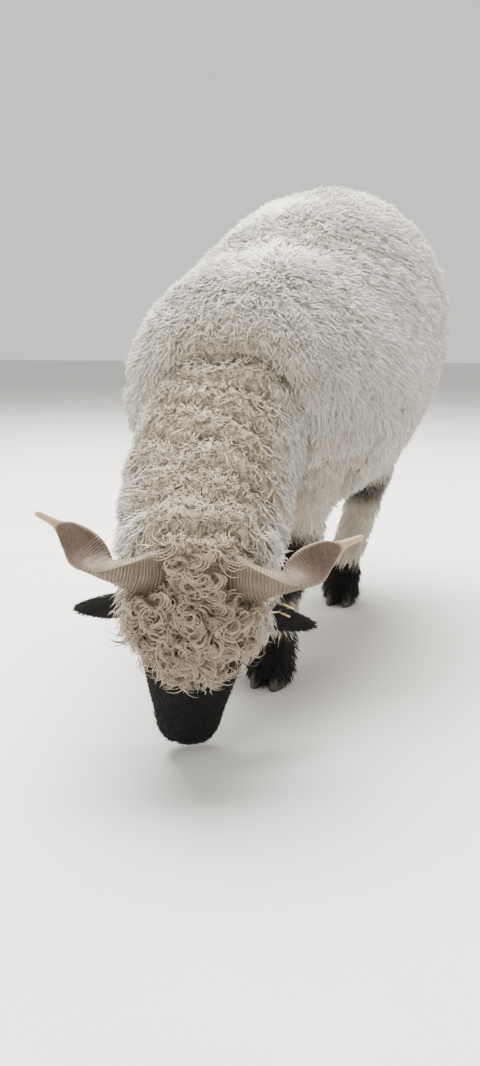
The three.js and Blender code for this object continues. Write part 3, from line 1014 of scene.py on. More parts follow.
@dataclass
class Roots:
    """Where locks are rooted, and the way each grows."""

    place: Array
    out: Array
    lie: Array
    dark: Array
    tint: Array
    unwrap: Array
    size: Array

    def kept(self, mask: Array) -> "Roots":
        """The roots that a mask picks."""
        return Roots(*(getattr(self, name)[mask] for name in self.__dataclass_fields__))

    def repeated(self, times: int) -> "Roots":
        """Every root several times over, for the strands of one lock."""
        return self.kept(np.repeat(np.arange(len(self.place)), times))


class Barber:
    """Sets locks over a surface and joins them into meshes."""

    def __init__(self, seed: int) -> None:
        """Starts a repeatable draw."""
        self.draw = np.random.default_rng(seed)

    def sow(self, piece: bpy.types.Object, weight: Array, spacing: float) -> tuple[Array, Array, Array]:
        """Spreads roots evenly over a mesh.

        Args:
            piece: the mesh.
            weight: how dense the coat is at each of its points, 0 to 1.
            spacing: distance between roots where it is densest.

        Returns:
            The places, the ways out, and the nearest point's number for each root.
        """
        mesh = piece.data
        mesh.calc_loop_triangles()
        corners = np.empty(len(mesh.loop_triangles) * 3, np.int32)
        mesh.loop_triangles.foreach_get("vertices", corners)
        corners = corners.reshape(-1, 3)
        points, out = points_of(piece), normals_of(piece)
        a, b, c = (points[corners[:, k]] for k in range(3))
        share = weight[corners].mean(axis=1) * np.linalg.norm(np.cross(b - a, c - a), axis=1) / 2
        cell = 0.06
        order = np.lexsort(tuple(np.round((a[:, k] + b[:, k] + c[:, k]) / cell) for k in (0, 1, 2)))
        reach = np.cumsum(share[order])
        count = int(reach[-1] / spacing**2)
        marks = (np.arange(count) + self.draw.random(count)) * reach[-1] / count
        found = order[np.minimum(np.searchsorted(reach, marks), len(order) - 1)]
        u, v = self.draw.random((2, count))
        over = u + v > 1
        u, v = np.where(over, 1 - u, u), np.where(over, 1 - v, v)
        w = 1 - u - v
        chosen = corners[found]
        spots = sum(k[:, None] * points[chosen[:, i]] for i, k in enumerate((w, u, v)))
        ways = unit(sum(k[:, None] * out[chosen[:, i]] for i, k in enumerate((w, u, v))))
        closest = chosen[np.arange(count), np.argmax([w, u, v], axis=0)]
        return spots, ways, closest

    def gathered(self, roots: Roots, style: LockStyle) -> Array:
        """The way from each root to the middle of its clump.

        Args:
            roots: the roots.
            style: how far apart the roots and the clumps are.

        Returns:
            A vector for each root, along the skin.
        """
        count = len(roots.place)
        area = count * style.spacing**2
        picked = self.draw.choice(count, max(2, int(area / style.clump**2)), replace=False)
        tree = kdtree.KDTree(len(picked))
        for i, k in enumerate(picked):
            tree.insert(roots.place[k], i)
        tree.balance()
        middle = roots.place[picked][np.array([tree.find(place)[1] for place in roots.place])]
        pull = middle - roots.place
        return pull - roots.out * (pull * roots.out).sum(axis=1, keepdims=True)

    def grow(self, name: str, roots: Roots, style: LockStyle) -> bpy.types.Object:
        """Makes the locks of one piece.

        Args:
            name: the piece's name.
            roots: where they are rooted.
            style: how they grow.

        Returns:
            One mesh of closed locks.
        """
        locks, strands = len(roots.place), style.strands
        roots = roots.repeated(strands)
        count, steps, sides = len(roots.place), style.steps, style.sides
        s = np.linspace(0, 1, steps + 1) ** style.pace

        def of_lock(values: Array, loose: float) -> Array:
            """One value for each lock, which its strands share but for a little.

            Args:
                values: one for each lock.
                loose: how far its strands stray from it.

            Returns:
                One value for each strand.
            """
            apart = loose * self.draw.normal(0, 1, (count, 1)) * (strands > 1)
            return np.repeat(values, strands)[:, None] + apart

        heading = of_lock(np.radians(style.scatter) * self.draw.normal(0, 1, locks), 0.12)
        hand = self.draw.choice([-1, 1], locks) * self.draw.uniform(0.45, 1.25, locks)
        curl = of_lock(2 * np.pi * style.curl * hand, 0.35 * style.curl)
        phase = of_lock(self.draw.uniform(0, 2 * np.pi, locks), 0.3)
        low, high = style.stand
        lean = of_lock(self.draw.normal(0, 7, locks), 5)
        length = style.length * roots.size
        length = length * (1 + of_lock(style.vary * self.draw.uniform(-1, 1, locks), 0.09)[:, 0])

        def ways(share: Array) -> tuple[Array, Array, Array]:
            """Directions along, across and over each lock at shares of its length.

            Args:
                share: shares of the length, 0 to 1.

            Returns:
                Three vectors for each lock and share.
            """
            psi = heading + curl * share**1.5
            psi = psi + np.radians(style.crimp) * np.sin(2 * np.pi * style.waves * share + phase)
            rise = np.radians(low + (high - low) * np.sqrt(share) + lean)
            swing = np.cross(roots.out, roots.lie)
            forward = np.cos(psi)[..., None] * roots.lie[:, None] + np.sin(psi)[..., None] * swing[:, None]
            across = np.cos(psi)[..., None] * swing[:, None] - np.sin(psi)[..., None] * roots.lie[:, None]
            along = np.cos(rise)[..., None] * forward + np.sin(rise)[..., None] * roots.out[:, None]
            return along, across, np.cross(along, across)

        middle = (s[1:] + s[:-1]) / 2
        along = ways(middle[None, :])[0]
        stride = (s[1:] - s[:-1])[None, :, None] * length[:, None, None]
        path = np.concatenate([np.zeros((count, 1, 3)), np.cumsum(along * stride, axis=1)], axis=1)
        path += roots.place[:, None] + style.loose * self.draw.normal(0, 1, (count, 1, 3))
        if style.clump_pull:
            pull = self.gathered(roots, style)[:, None]
            path += pull * (style.clump_pull * s**1.5)[None, :, None]
        _, across, over = ways(s[None, :-1])
        girth = np.interp(s[:-1], np.linspace(0, 1, len(style.girth)), style.girth)
        width = style.width * (1 + 0.25 * self.draw.uniform(-1, 1, count)) * np.sqrt(roots.size)
        spin = np.arange(sides) * 2 * np.pi / sides + 0.5
        spread = (width[:, None] * girth[None] / 2)[..., None, None]
        rings = path[:, :-1, None] + spread * (
            np.cos(spin)[None, None, :, None] * across[:, :, None]
            + style.flat * np.sin(spin)[None, None, :, None] * over[:, :, None]
        )
        points = np.concatenate([rings.reshape(count, -1, 3), path[:, -1:]], axis=1)
        points[..., 2] = np.maximum(points[..., 2], OFF_FLOOR)
        each = steps * sides + 1
        made = mesh_from(name, points.reshape(-1, 3), self.faces(count, steps, sides))
        # Share of the length at each ring; the material paints shade from it, darker towards each lock's
        # root.
        rise = np.concatenate([np.repeat(s[:-1], sides), [1.0]])
        tone = np.clip(of_lock(self.draw.random(locks), 0.12)[:, 0], 0, 1)
        strand = np.zeros((count, each, 3))
        strand[:, :-1, 0] = np.tile(np.cos(spin), steps) + 9 * tone[:, None]
        strand[:, :-1, 1] = np.tile(np.sin(spin), steps) + 5 * tone[:, None]
        strand[:, -1, 0] = 9 * tone
        strand[:, -1, 1] = 5 * tone
        strand[:, :, 2] = rise[None] * (length / 0.02)[:, None]
        store(
            made,
            dark=np.repeat(roots.dark, each),
            tint=np.repeat(roots.tint, each),
            rise=np.tile(rise, count),
            draw=np.repeat(tone, each),
            strand=strand.reshape(-1, 3),
        )
        self.unwrap(made, roots, steps, sides)
        own = normals_of(made)
        soft = unit(own * (1 - style.softness) + np.repeat(roots.out, each, axis=0) * style.softness)
        made.data.normals_split_custom_set_from_vertices(soft)
        return made

    def faces(self, count: int, steps: int, sides: int) -> list[Array]:
        """Faces of many like locks, each closed at its root and its tip.

        Args:
            count: how many locks.
            steps: rings of each.
            sides: points in each ring.

        Returns:
            Walls, tips and roots.
        """
        each = steps * sides + 1
        at = np.arange(steps * sides).reshape(steps, sides)
        ahead = np.roll(at, -1, axis=1)
        walls = np.stack([at[:-1], ahead[:-1], ahead[1:], at[1:]], axis=-1).reshape(-1, 4)
        tip = np.stack([at[-1], ahead[-1], np.full(sides, each - 1)], axis=-1)
        start = (np.arange(count) * each)[:, None, None]
        return [
            (walls[None] + start).reshape(-1, 4),
            (tip[None] + start).reshape(-1, 3),
            (at[0][::-1][None, None] + start).reshape(-1, sides),
        ]

    def unwrap(self, made: bpy.types.Object, roots: Roots, steps: int, sides: int) -> None:
        """Lays each lock on a small patch at its root's place on an unwrap of the skin.

        Args:
            made: the mesh of locks.
            roots: their roots.
            steps: rings of each.
            sides: points in each ring.
        """
        patch = 0.003
        each = steps * sides + 1
        low, high = roots.unwrap.min(axis=0), roots.unwrap.max(axis=0)
        place = 0.01 + 0.975 * (roots.unwrap - low) / np.maximum(high - low, 1e-6)
        inside = np.zeros((each, 2))
        inside[:-1, 0] = np.tile(np.arange(sides) / sides, steps)
        inside[:-1, 1] = np.repeat(np.arange(steps) / steps, sides)
        inside[-1] = (0.5, 1)
        flat = (place[:, None] + patch * inside[None]).reshape(-1, 2)
        corners = np.empty(len(made.data.loops), np.int32)
        made.data.loops.foreach_get("vertex_index", corners)
        layer = made.data.uv_layers.new(name=BAKE_LAYER)
        layer.uv.foreach_set("vector", flat[corners].astype(np.float32).ravel())


class Fleece:
    """The coat over the skin, in pieces small enough to be handled."""

    def __init__(
        self, skin: bpy.types.Object, chart: Chart, materials: dict[Finish, bpy.types.Material]
    ) -> None:
        """Reads the skin's markings.

        Args:
            skin: the body's skin.
            chart: its points' places on the forms.
            materials: the coat's materials.
        """
        self.skin = skin
        self.chart = chart
        self.materials = materials
        self.points = points_of(skin)
        self.dark, self.tint = Markings().read(self.points, chart)
        self.own = unplaced(self.points, BODY_PLACE)
        self.head = unplaced(self.points, HEAD_PLACE)

    def everywhere(self, way: Triple) -> Array:
        """One way for the coat at every point of the skin."""
        return np.tile(np.array(way, float), (len(self.own), 1))

    def lie(self, place: Array, out: Array, way: Array) -> Array:
        """A direction laid along the skin, with slow swirls.

        Args:
            place: the roots.
            out: the ways out of the skin there.
            way: the ways that the coat tends to.

        Returns:
            One vector for each root.
        """
        swirl = np.stack([value_noise(place, 0.09, seed) for seed in (31, 32, 33)], axis=1)
        toward = way + 0.45 * swirl
        return unit(toward - out * (toward * out).sum(axis=1, keepdims=True) + 1e-6)

    def roots(self, barber: Barber, weight: Array, spacing: float, way: Array, size: Array) -> Roots:
        """Sows roots and reads what the skin says at each.

        Args:
            barber: who sows them.
            weight: density at each point of the skin.
            spacing: distance between roots.
            way: the coat's general way, at each point of the skin.
            size: length of the locks at each point, as a share.

        Returns:
            The roots.
        """
        place, out, nearest = barber.sow(self.skin, weight, spacing)
        lie = self.lie(place, out, way[nearest])
        unwrap = np.stack([self.chart.angle[nearest] / (2 * np.pi), self.chart.share[nearest]], axis=1)
        unwrap += barber.draw.uniform(-0.006, 0.006, unwrap.shape)
        return Roots(place, out, lie, self.dark[nearest], self.tint[nearest], unwrap, size[nearest])

    def share_out(
        self, barber: Barber, name: str, roots: Roots, style: LockStyle, finish: Finish, pieces: int = 1
    ) -> None:
        """Grows the locks as several pieces, side by side round the body.

        Args:
            barber: who grows them.
            name: the pieces' name.
            roots: all the roots.
            style: how the locks grow.
            finish: the pieces' finish.
            pieces: how many.
        """
        order = np.argsort(roots.unwrap[:, 0], kind="stable")
        for i, part in enumerate(np.array_split(order, pieces)):
            label = name if pieces == 1 else f"{name}_{i + 1}"
            made = barber.grow(label, roots.kept(part), style)
            hand_over(made, self.materials[finish])

    def curliness(self) -> Array:
        """Where the neck's wool is crimped into curls, at each point of the skin.

        Returns:
            A share for each point, 0 to 1.
        """
        is_neck = self.chart.on(Region.NECK, Region.TRUNK)
        above = eased(np.sin(self.chart.angle) + 0.12 * value_noise(self.points, 0.05, 8), 0.42, 0.78)
        toward = eased(-self.own[:, 1] + 0.02 * value_noise(self.points, 0.05, 9), 0.33, 0.38)
        on_poll = self.chart.on(Region.FORELOCK, Region.CHEEK, Region.FACE)
        aside = np.abs(self.head[:, 0]) + 0.012 * value_noise(self.points, 0.04, 10)
        behind = on_poll * eased(self.head[:, 1], 0.016, 0.030) * (1 - eased(aside, 0.062, 0.082))
        return np.maximum(is_neck * above * toward, behind)

    def dress_body(self) -> None:
        """The soft fleece of the trunk and the sides of the neck."""
        on_neck = self.chart.on(Region.NECK)
        woolly = self.chart.on(Region.TRUNK, Region.NECK) * (1 - 0.92 * self.curliness())
        weight = woolly * (0.4 + 0.6 * eased(self.own[:, 2], 0.26, 0.34))
        down = self.everywhere((0, 0.35, -1))
        down[on_neck] = (0, -0.4, -1)
        size = 1 + 0.12 * value_noise(self.points, 0.06, 12)
        size *= np.where(on_neck, 0.85, 1.0)
        style = LockStyle(
            spacing=4.1 * MM,
            length=22 * MM,
            width=2.9 * MM,
            flat=0.5,
            steps=2,
            stand=(52, 14),
            crimp=20,
            waves=0.8,
            scatter=26,
            clump=24 * MM,
            clump_pull=0.34,
            girth=(1.0, 0.9, 0.0),
            pace=0.9,
            softness=0.93,
        )
        barber = Barber(41)
        roots = self.roots(barber, weight, style.spacing, down, size)
        self.share_out(barber, "fleece", roots, style, Finish.WOOL, 8)

    def dress_neck(self) -> None:
        """The crimped curls over the top of the neck."""
        way = self.everywhere((0, -0.9, -0.5))
        style = LockStyle(
            spacing=5.1 * MM,
            length=20 * MM,
            width=1.9 * MM,
            flat=0.7,
            steps=5,
            stand=(50, -4),
            curl=0.8,
            crimp=26,
            scatter=70,
            girth=(0.9, 1.0, 0.9, 0.6, 0.0),
            pace=1.0,
            strands=2,
            loose=0.9 * MM,
            softness=0.75,
        )
        barber = Barber(42)
        folded = Folds().read(self.points, self.chart)
        size = (1 + 0.2 * value_noise(self.points, 0.04, 13)) * (1 - 0.6 * folded)
        roots = self.roots(barber, self.curliness(), style.spacing, way, size)
        self.share_out(barber, "neck_curls", roots, style, Finish.CURLS, 2)

    def dress_legs(self) -> None:
        """The shorter wool of the legs, black on knees and hocks, and of the tail."""
        down = self.everywhere((0, 0, -1))
        style = LockStyle(
            spacing=4.4 * MM,
            length=17 * MM,
            width=2.9 * MM,
            steps=2,
            stand=(50, 14),
            crimp=30,
            scatter=26,
            clump=16 * MM,
            clump_pull=0.35,
            girth=(1.0, 0.9, 0.0),
            softness=0.8,
        )
        barber = Barber(43)
        size = 1 + 0.15 * value_noise(self.points, 0.03, 14)
        on_leg = self.chart.on(Region.LEG) * (self.own[:, 2] < 0.42)
        roots = self.roots(barber, on_leg.astype(float), style.spacing, down, size)
        self.share_out(barber, "leg_wool", roots, style, Finish.WOOL, 2)
        on_tail = self.chart.on(Region.TAIL) * 0.8
        roots = self.roots(barber, on_tail, style.spacing, down, size * 1.35)
        self.share_out(barber, "tail_wool", roots, style, Finish.WOOL)

    def dress_feet(self) -> None:
        """The long black hair that hangs over the claws."""
        down = self.everywhere((0, 0, -1))
        on_foot = self.chart.on(Region.FOOT) * (self.own[:, 2] > 0.02)
        style = LockStyle(
            spacing=3.8 * MM,
            length=27 * MM,
            width=2.6 * MM,
            steps=3,
            stand=(42, 10),
            crimp=12,
            scatter=14,
            clump=11 * MM,
            clump_pull=0.45,
            girth=(0.9, 1.1, 0.8, 0.0),
        )
        barber = Barber(44)
        roots = self.roots(barber, on_foot.astype(float), style.spacing, down, np.ones(len(self.own)))
        self.share_out(barber, "foot_hair", roots, style, Finish.HAIR)

    def dress_head(self) -> None:
        """The ringlets of the forelock, and the softer wool of the cheeks."""
        down_face = self.everywhere(HEAD_PLACE[:3, :3] @ np.array(FORWARD, float))
        on_forelock = self.chart.on(Region.FORELOCK)
        x, y, z = self.head.T
        aside = np.abs(x)
        off_horns = 1 - eased(aside, 0.016, 0.024) * (1 - eased(np.abs(y + 0.008), 0.026, 0.031))
        in_front = on_forelock * eased(z, 0.012, 0.03) * (1 - eased(y, 0.018, 0.036))
        curly = in_front * (1 - eased(aside - Markings.forelock_half(y), -0.008, 0.006))
        style = LockStyle(
            spacing=7.4 * MM,
            length=40 * MM,
            width=1.8 * MM,
            flat=0.8,
            steps=9,
            stand=(66, 0),
            curl=0.78,
            crimp=10,
            waves=1.4,
            scatter=75,
            vary=0.35,
            girth=(0.8, 1.0, 1.05, 0.95, 0.6, 0.0),
            pace=1.0,
            strands=5,
            loose=1.25 * MM,
            softness=0.5,
        )
        barber = Barber(45)
        size = 1 + 0.15 * value_noise(self.points, 0.03, 15)
        size = size * (1 - 0.45 * eased(-y, 0.11, 0.15)) * (0.4 + 0.6 * off_horns)
        roots = self.roots(barber, curly, style.spacing, down_face, size)
        self.share_out(barber, "forelock", roots, style, Finish.CURLS)
        cheek = self.chart.on(Region.CHEEK) + on_forelock * off_horns - curly
        cheek = np.clip(cheek, 0, 1) * (1 - self.curliness())
        soft = LockStyle(
            spacing=4.0 * MM,
            length=27 * MM,
            width=2.8 * MM,
            steps=3,
            stand=(60, 14),
            crimp=34,
            waves=1.2,
            scatter=28,
            clump=17 * MM,
            clump_pull=0.45,
            girth=(1.0, 1.0, 0.7, 0.0),
            softness=0.75,
        )
        short = 1 - 0.6 * self.dark
        roots = self.roots(barber, cheek, soft.spacing, down_face, short)
        self.share_out(barber, "cheek_wool", roots, soft, Finish.WOOL, 2)


@dataclass(frozen=True)
class ShortHair:
    """The short black hair of the face and the ears. Lengths in metres."""

    eye_rim: tuple[float, float] = (0.014, 0.018)
    lips: tuple[float, float] = (0.268, 0.262)
    face_top: tuple[float, float] = (0.05, 0.07)
    style: LockStyle = LockStyle(
        spacing=3.3 * MM,
        length=7.5 * MM,
        width=1.6 * MM,
        steps=2,
        stand=(34, 16),
        scatter=14,
        girth=(1.0, 0.9, 0.0),
        pace=1.0,
    )

    def build(
        self, head: bpy.types.Object, face_count: int, material: bpy.types.Material
    ) -> bpy.types.Object:
        """Grows the hair over the muzzle and the ears.

        Args:
            head: the head's skin.
            face_count: how many of its points are the face's.
            material: the hair's material.

        Returns:
            The hair.
        """
        own = unplaced(points_of(head), HEAD_PLACE)
        ear = np.arange(len(own)) >= face_count
        eye = Features().eye
        off_eye = eased(np.hypot(own[:, 1] - eye[1], own[:, 2] - eye[2]), *self.eye_rim)
        clear = np.clip(off_eye + (np.abs(own[:, 0]) < 0.03), 0, 1)
        haired = 0.25 + 0.75 * eased(-own[:, 1], *self.lips)
        weight = np.where(ear, 1.0, eased(-own[:, 1], *self.face_top) * clear * haired)
        barber = Barber(46)
        place, out, nearest = barber.sow(head, weight, self.style.spacing)
        way = np.tile(HEAD_PLACE[:3, :3] @ np.array([0.0, 1.0, -0.4]), (len(place), 1))
        for side in (LEFT, RIGHT):
            run = HEAD_PLACE[:3, :3] @ Ear(side).axes()[1]
            way[ear[nearest] & (np.sign(own[nearest, 0]) == side)] = run
        lie = unit(way - out * (way * out).sum(axis=1, keepdims=True) + 1e-6)
        plain = np.ones(len(place))
        size = np.where(ear[nearest], 1.0, 0.8)
        unwrap = np.stack([np.arctan2(own[nearest, 2], own[nearest, 0]), own[nearest, 1]], axis=1)
        unwrap[ear[nearest]] = own[nearest][ear[nearest]][:, [1, 0]] * 6
        roots = Roots(place, out, lie, plain, plain, unwrap, size)
        return hand_over(barber.grow("short_hair", roots, self.style), material)


# Horns, claws, eyes and tag


@dataclass(frozen=True)
class Horn:
    """A flattened, ridged horn that turns over once on its way out.

    Lengths in millimetres in the head's axes, places as shares of the horn's length.
    """

    side: int
    ridge: float = 0.22
    ridges: int = 66
    smooth: tuple[float, float] = (0.55, 0.9)
    rings: int = 260
    sides: int = 40
    hollow: float = 8.0
    hollow_start: tuple[float, float] = (0.34, 0.5)
    hollow_end: tuple[float, float] = (0.72, 0.9)
    closing: float = 0.94

    def stations(self) -> Rows:
        """Centre, width, thickness and twist of the sections."""
        return [
            (18, -8, 14, 70, 44, 0),
            (50, -8, 40, 72, 42, 12),
            (84, -4, 54, 62, 34, 42),
            (114, 2, 50, 50, 27, 88),
            (142, 17, 34, 50, 22, 138),
            (164, 29, 18, 38, 17, 172),
            (181, 40, 13, 13, 11, 190),
            (203, 56, 24, 9, 8, 200),
        ]

    def build(self, material: bpy.types.Material) -> bpy.types.Object:
        """Makes the horn, with growth ridges that fade towards its tip and a hollow inner face.

        Args:
            material: the horn's material.

        Returns:
            The horn.
        """
        form = Form(Region.FACE, self.stations(), UP, 0, HEAD_PLACE)
        t = np.linspace(0, 1, self.rings)
        row = form.section(t) / MM
        step = 0.01
        ahead, behind = (form.section(np.clip(t + way, 0, 1))[:, :3] for way in (step, -step))
        run = unit(ahead - behind)
        flip = np.array([self.side, 1, 1])
        centre, run = row[:, :3] * flip, run * flip
        across = unit(np.array(FORWARD) - run * (run @ np.array(FORWARD))[:, None])
        out = np.cross(run, across)
        angle = np.arange(self.sides) * 2 * np.pi / self.sides
        c, s = np.cos(angle)[None], np.sin(angle)[None]
        square = np.sign(c) * np.abs(c) ** 0.85
        bend = 1.1 * np.sin(22 * t)[:, None] + 0.8 * np.sin(61 * t)[:, None] + 1.6 * c * (1 - t[:, None])
        wave = np.sin(2 * np.pi * (self.ridges * t[:, None] ** 0.9 + 0.25 * bend))
        fade = (1 - eased(t, *self.smooth))[:, None]
        ridge = self.ridge * fade * (np.abs(wave) ** 0.7 * np.sign(wave) * 0.6 + 0.5 * wave)
        end = ((t - self.closing) / (1 - self.closing)).clip(0)
        close = np.sqrt(np.clip(1 - end**2, 0.001, 1))[:, None]
        u = square * (row[:, 3:4] / 2 + ridge) * close
        dip = self.hollow * (eased(t, *self.hollow_start) * (1 - eased(t, *self.hollow_end)))[:, None]
        inner = np.clip(s * self.side, 0, 1) ** 1.5
        lens = s * np.abs(s) ** (0.9 * eased(t, 0.1, 0.4)[:, None])
        v = lens * (row[:, 4:5] / 2 + ridge) * close - self.side * dip * inner * (1 - np.abs(c) ** 2.5)
        turn_by = self.side * np.radians(row[:, 5:6])
        first = u * np.cos(turn_by) - v * np.sin(turn_by)
        second = u * np.sin(turn_by) + v * np.cos(turn_by)
        points = centre[:, None] + first[..., None] * across[:, None] + second[..., None] * out[:, None]
        name = "horn_left" if self.side == LEFT else "horn_right"
        points = placed(points.reshape(-1, 3) * MM, HEAD_PLACE)
        made = mesh_from(f"{name}_piece", points, tube_faces(self.rings, self.sides))
        # Masks for the material's painted shade: the hollow's inner face, and the grooves between the ridges.
        spoon = eased((inner * (dip / self.hollow)).ravel(), 0.12, 0.5)
        groove = (0.5 - 0.5 * wave * fade).ravel()
        store(made, along=np.repeat(t, self.sides), spoon=spoon, groove=groove)
        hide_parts(name)
        return hand_over(made, material)


@dataclass(frozen=True)
class Claws:
    """The two claws of each foot, in millimetres."""

    length: float = 66
    width: float = 27
    height: float = 44
    spread: float = 17
    lean: float = 9
    back: float = 8

    def claw(self, x: float, y: float) -> tuple[Array, int, int]:
        """Rings of one claw, from its flat sole up its leaning wall.

        Args:
            x: its middle, to the left.
            y: its middle, backwards.

        Returns:
            The points, and the counts of rings and sides.
        """
        rise = np.array([0, 1.5, 5, 12, 22, 32, 40, 44.0])
        scale = np.array([0.93, 0.985, 1.0, 0.985, 0.93, 0.86, 0.79, 0.60])
        sides = 36
        angle = np.arange(sides) * 2 * np.pi / sides
        u = np.sign(np.cos(angle)) * np.abs(np.cos(angle)) ** 0.8
        v = np.sin(angle)
        u = u * (1 - 0.30 * np.clip(-v, 0, 1) ** 1.6)
        ripple = 1 + 0.006 * np.sin(rise * 1.3)
        rings = []
        for z, k, r in zip(rise, scale, ripple):
            across = x + u * self.width / 2 * k * r
            along = y + v * self.length / 2 * k + self.lean * (z / self.height)
            rings.append(np.stack([across, along, np.full(sides, z)], -1))
        return np.concatenate(rings), len(rise), sides

    def build(self, material: bpy.types.Material) -> None:
        """Makes all eight claws.

        Args:
            material: their material.
        """
        for leg in LEGS:
            for part, way in (("inner", -1), ("outer", 1)):
                x = leg.x + math.copysign(1, leg.x) * way * self.spread
                points, rings, sides = self.claw(x, leg.y - self.back)
                name = f"hoof_{leg.name}_{part}"
                made = mesh_from(f"{name}_piece", placed(points * MM, BODY_PLACE), tube_faces(rings, sides))
                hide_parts(name)
                hand_over(made, material)


@dataclass(frozen=True)
class Eyes:
    """The two eyes, with level slits for pupils."""

    features: Features = field(default_factory=Features)
    rings: int = 40
    sides: int = 56
    iris: tuple[float, float] = (0.66, 0.72)
    slit: tuple[float, float] = (0.40, 0.16)

    def build(self, material: bpy.types.Material) -> None:
        """Makes both eyes.

        Args:
            material: their material.
        """
        rings, sides, (long, high) = self.rings, self.sides, self.slit
        polar = np.repeat(np.linspace(0.02, np.pi - 0.02, rings), sides)
        around = np.tile(np.arange(sides) * 2 * np.pi / sides, rings)
        local = [np.sin(polar) * np.cos(around), np.sin(polar) * np.sin(around), np.cos(polar)]
        local = np.stack(local, -1)
        for side, name in ((LEFT, "eye_left"), (RIGHT, "eye_right")):
            out = unit(np.array([side * 1.0, -0.25, 0.3]))
            along = unit(np.array([0, 1, 0]) - out * out[1])
            upward = np.cross(out, along) * side
            bulge = 1 + 0.035 * eased(local[:, 2], 0.80, 0.95)
            points = (local[:, :1] * along + local[:, 1:2] * upward + local[:, 2:] * out) * bulge[:, None]
            centre = np.array(self.features.eye) * np.array([side, 1, 1])
            where = placed(centre + points * self.features.eye_radius, HEAD_PLACE)
            made = mesh_from(f"{name}_piece", where, tube_faces(rings, sides))
            off = np.hypot(local[:, 0], local[:, 1])
            slit = np.hypot(local[:, 0] / long, local[:, 1] / high)
            front = local[:, 2] > 0
            pupil = (1 - eased(slit, 0.85, 1.05)) * front
            store(made, iris=(1 - eased(off, *self.iris)) * front, pupil=pupil)
            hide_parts(name)
            hand_over(made, material)


@dataclass(frozen=True)
class Tag:
    """A small plain tag through the left ear: a button on each side and the pin between them.

    Its place as shares of the ear, lengths in millimetres.
    """

    along: float = 0.56
    across: float = -0.72
    radius: float = 8.0
    thick: float = 2.0
    pin: float = 2.6
    clear: float = 3.0
    bevel: tuple[float, float] = (0.7, 0.3)
    sides: int = 40

    def build(self, material: bpy.types.Material) -> None:
        """Makes the tag, turned with the slope of the ear where it sits.

        Args:
            material: its material.
        """
        ear = Ear(LEFT)
        share, side = np.array([self.along]), np.array([self.across])
        front, back = (ear.points(share, side, np.array([way]))[0] for way in (1.0, -1.0))
        out = unit(front - back)
        along = unit(HEAD_PLACE[:3, :3] @ ear.axes()[1])
        along = unit(along - out * (along @ out))
        sideways = np.cross(out, along)
        inset, drop = self.bevel
        inner, outer = self.clear, self.clear + self.thick
        button = [(inner, self.radius), (outer - drop, self.radius), (outer, self.radius - inset)]
        profile = [(inner, self.pin), *button]
        profile = [(-height, radius) for height, radius in reversed(profile)] + profile
        angle = np.arange(self.sides) * 2 * np.pi / self.sides
        ear_half = np.linalg.norm(front - back) / 2
        rings = []
        for height, radius in profile:
            centre = (front + back) / 2 + out * (height * MM + math.copysign(ear_half, height))
            spread = np.cos(angle)[:, None] * along + np.sin(angle)[:, None] * sideways
            rings.append(centre + radius * MM * spread)
        made = mesh_from("ear_tag_piece", np.concatenate(rings), tube_faces(len(rings), self.sides))
        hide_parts("ear_tag")
        hand_over(made, material)


# Materials


class Graph:
    """A node tree that is filled node by node."""

    def __init__(self, tree: bpy.types.NodeTree) -> None:
        """Keeps the tree."""
        self.tree = tree

    def feed(self, node: bpy.types.Node, inputs: dict) -> None:
        """Sets or links a node's inputs.

        Args:
            node: the node.
            inputs: a value or a socket for each input, by name or number.
        """
        for key, value in inputs.items():
            if isinstance(value, bpy.types.NodeSocket):
                self.tree.links.new(value, node.inputs[key])
            else:
                node.inputs[key].default_value = value

    def add(self, kind: str, inputs: dict | None = None, **settings: object) -> bpy.types.Node:
        """Adds a node.

        Args:
            kind: its type.
            inputs: a value or a socket for each input, by name or number.
            settings: the node's own settings.

        Returns:
            The node.
        """
        made = self.tree.nodes.new(kind)
        for key, value in settings.items():
            setattr(made, key, value)
        self.feed(made, inputs or {})
        return made

    def read(self, name: str, output: str = "Fac") -> bpy.types.NodeSocket:
        """A value kept on the mesh's points."""
        return self.add("ShaderNodeAttribute", attribute_name=name).outputs[output]

    def blend(self, factor: object, a: object, b: object, mode: str = "MIX") -> bpy.types.NodeSocket:
        """Two colours mixed."""
        mixed = self.add("ShaderNodeMix", {0: factor, 6: a, 7: b}, data_type="RGBA", blend_type=mode)
        return mixed.outputs[2]

    def math(self, operation: str, *values: object) -> bpy.types.NodeSocket:
        """A sum on numbers."""
        return self.add("ShaderNodeMath", dict(enumerate(values)), operation=operation).outputs[0]

    def span(self, value: object, low: float, high: float, start: float, end: float) -> bpy.types.NodeSocket:
        """A value carried from one range to another."""
        inputs = {0: value, 1: low, 2: high, 3: start, 4: end}
        return self.add("ShaderNodeMapRange", inputs, clamp=True).outputs[0]

    def noise(self, scale: float, detail: float) -> bpy.types.NodeSocket:
        """Noise over the object's own space.

        Args:
            scale: how fine it is.
            detail: how many finer layers it has.

        Returns:
            A number between 0 and 1.
        """
        place = self.add("ShaderNodeTexCoord").outputs["Object"]
        inputs = {"Vector": place, "Scale": scale, "Detail": detail}
        return self.add("ShaderNodeTexNoise", inputs).outputs["Fac"]

    def bump(self, height: object, strength: float, distance: float) -> bpy.types.NodeSocket:
        """Relief from a height, as a normal."""
        inputs = {"Height": height, "Strength": strength, "Distance": distance}
        return self.add("ShaderNodeBump", inputs).outputs[0]

    def leave(self, value: bpy.types.NodeSocket) -> bpy.types.NodeTree:
        """Ends a group with the value it puts out."""
        self.add("NodeGroupOutput", {0: value})
        return self.tree


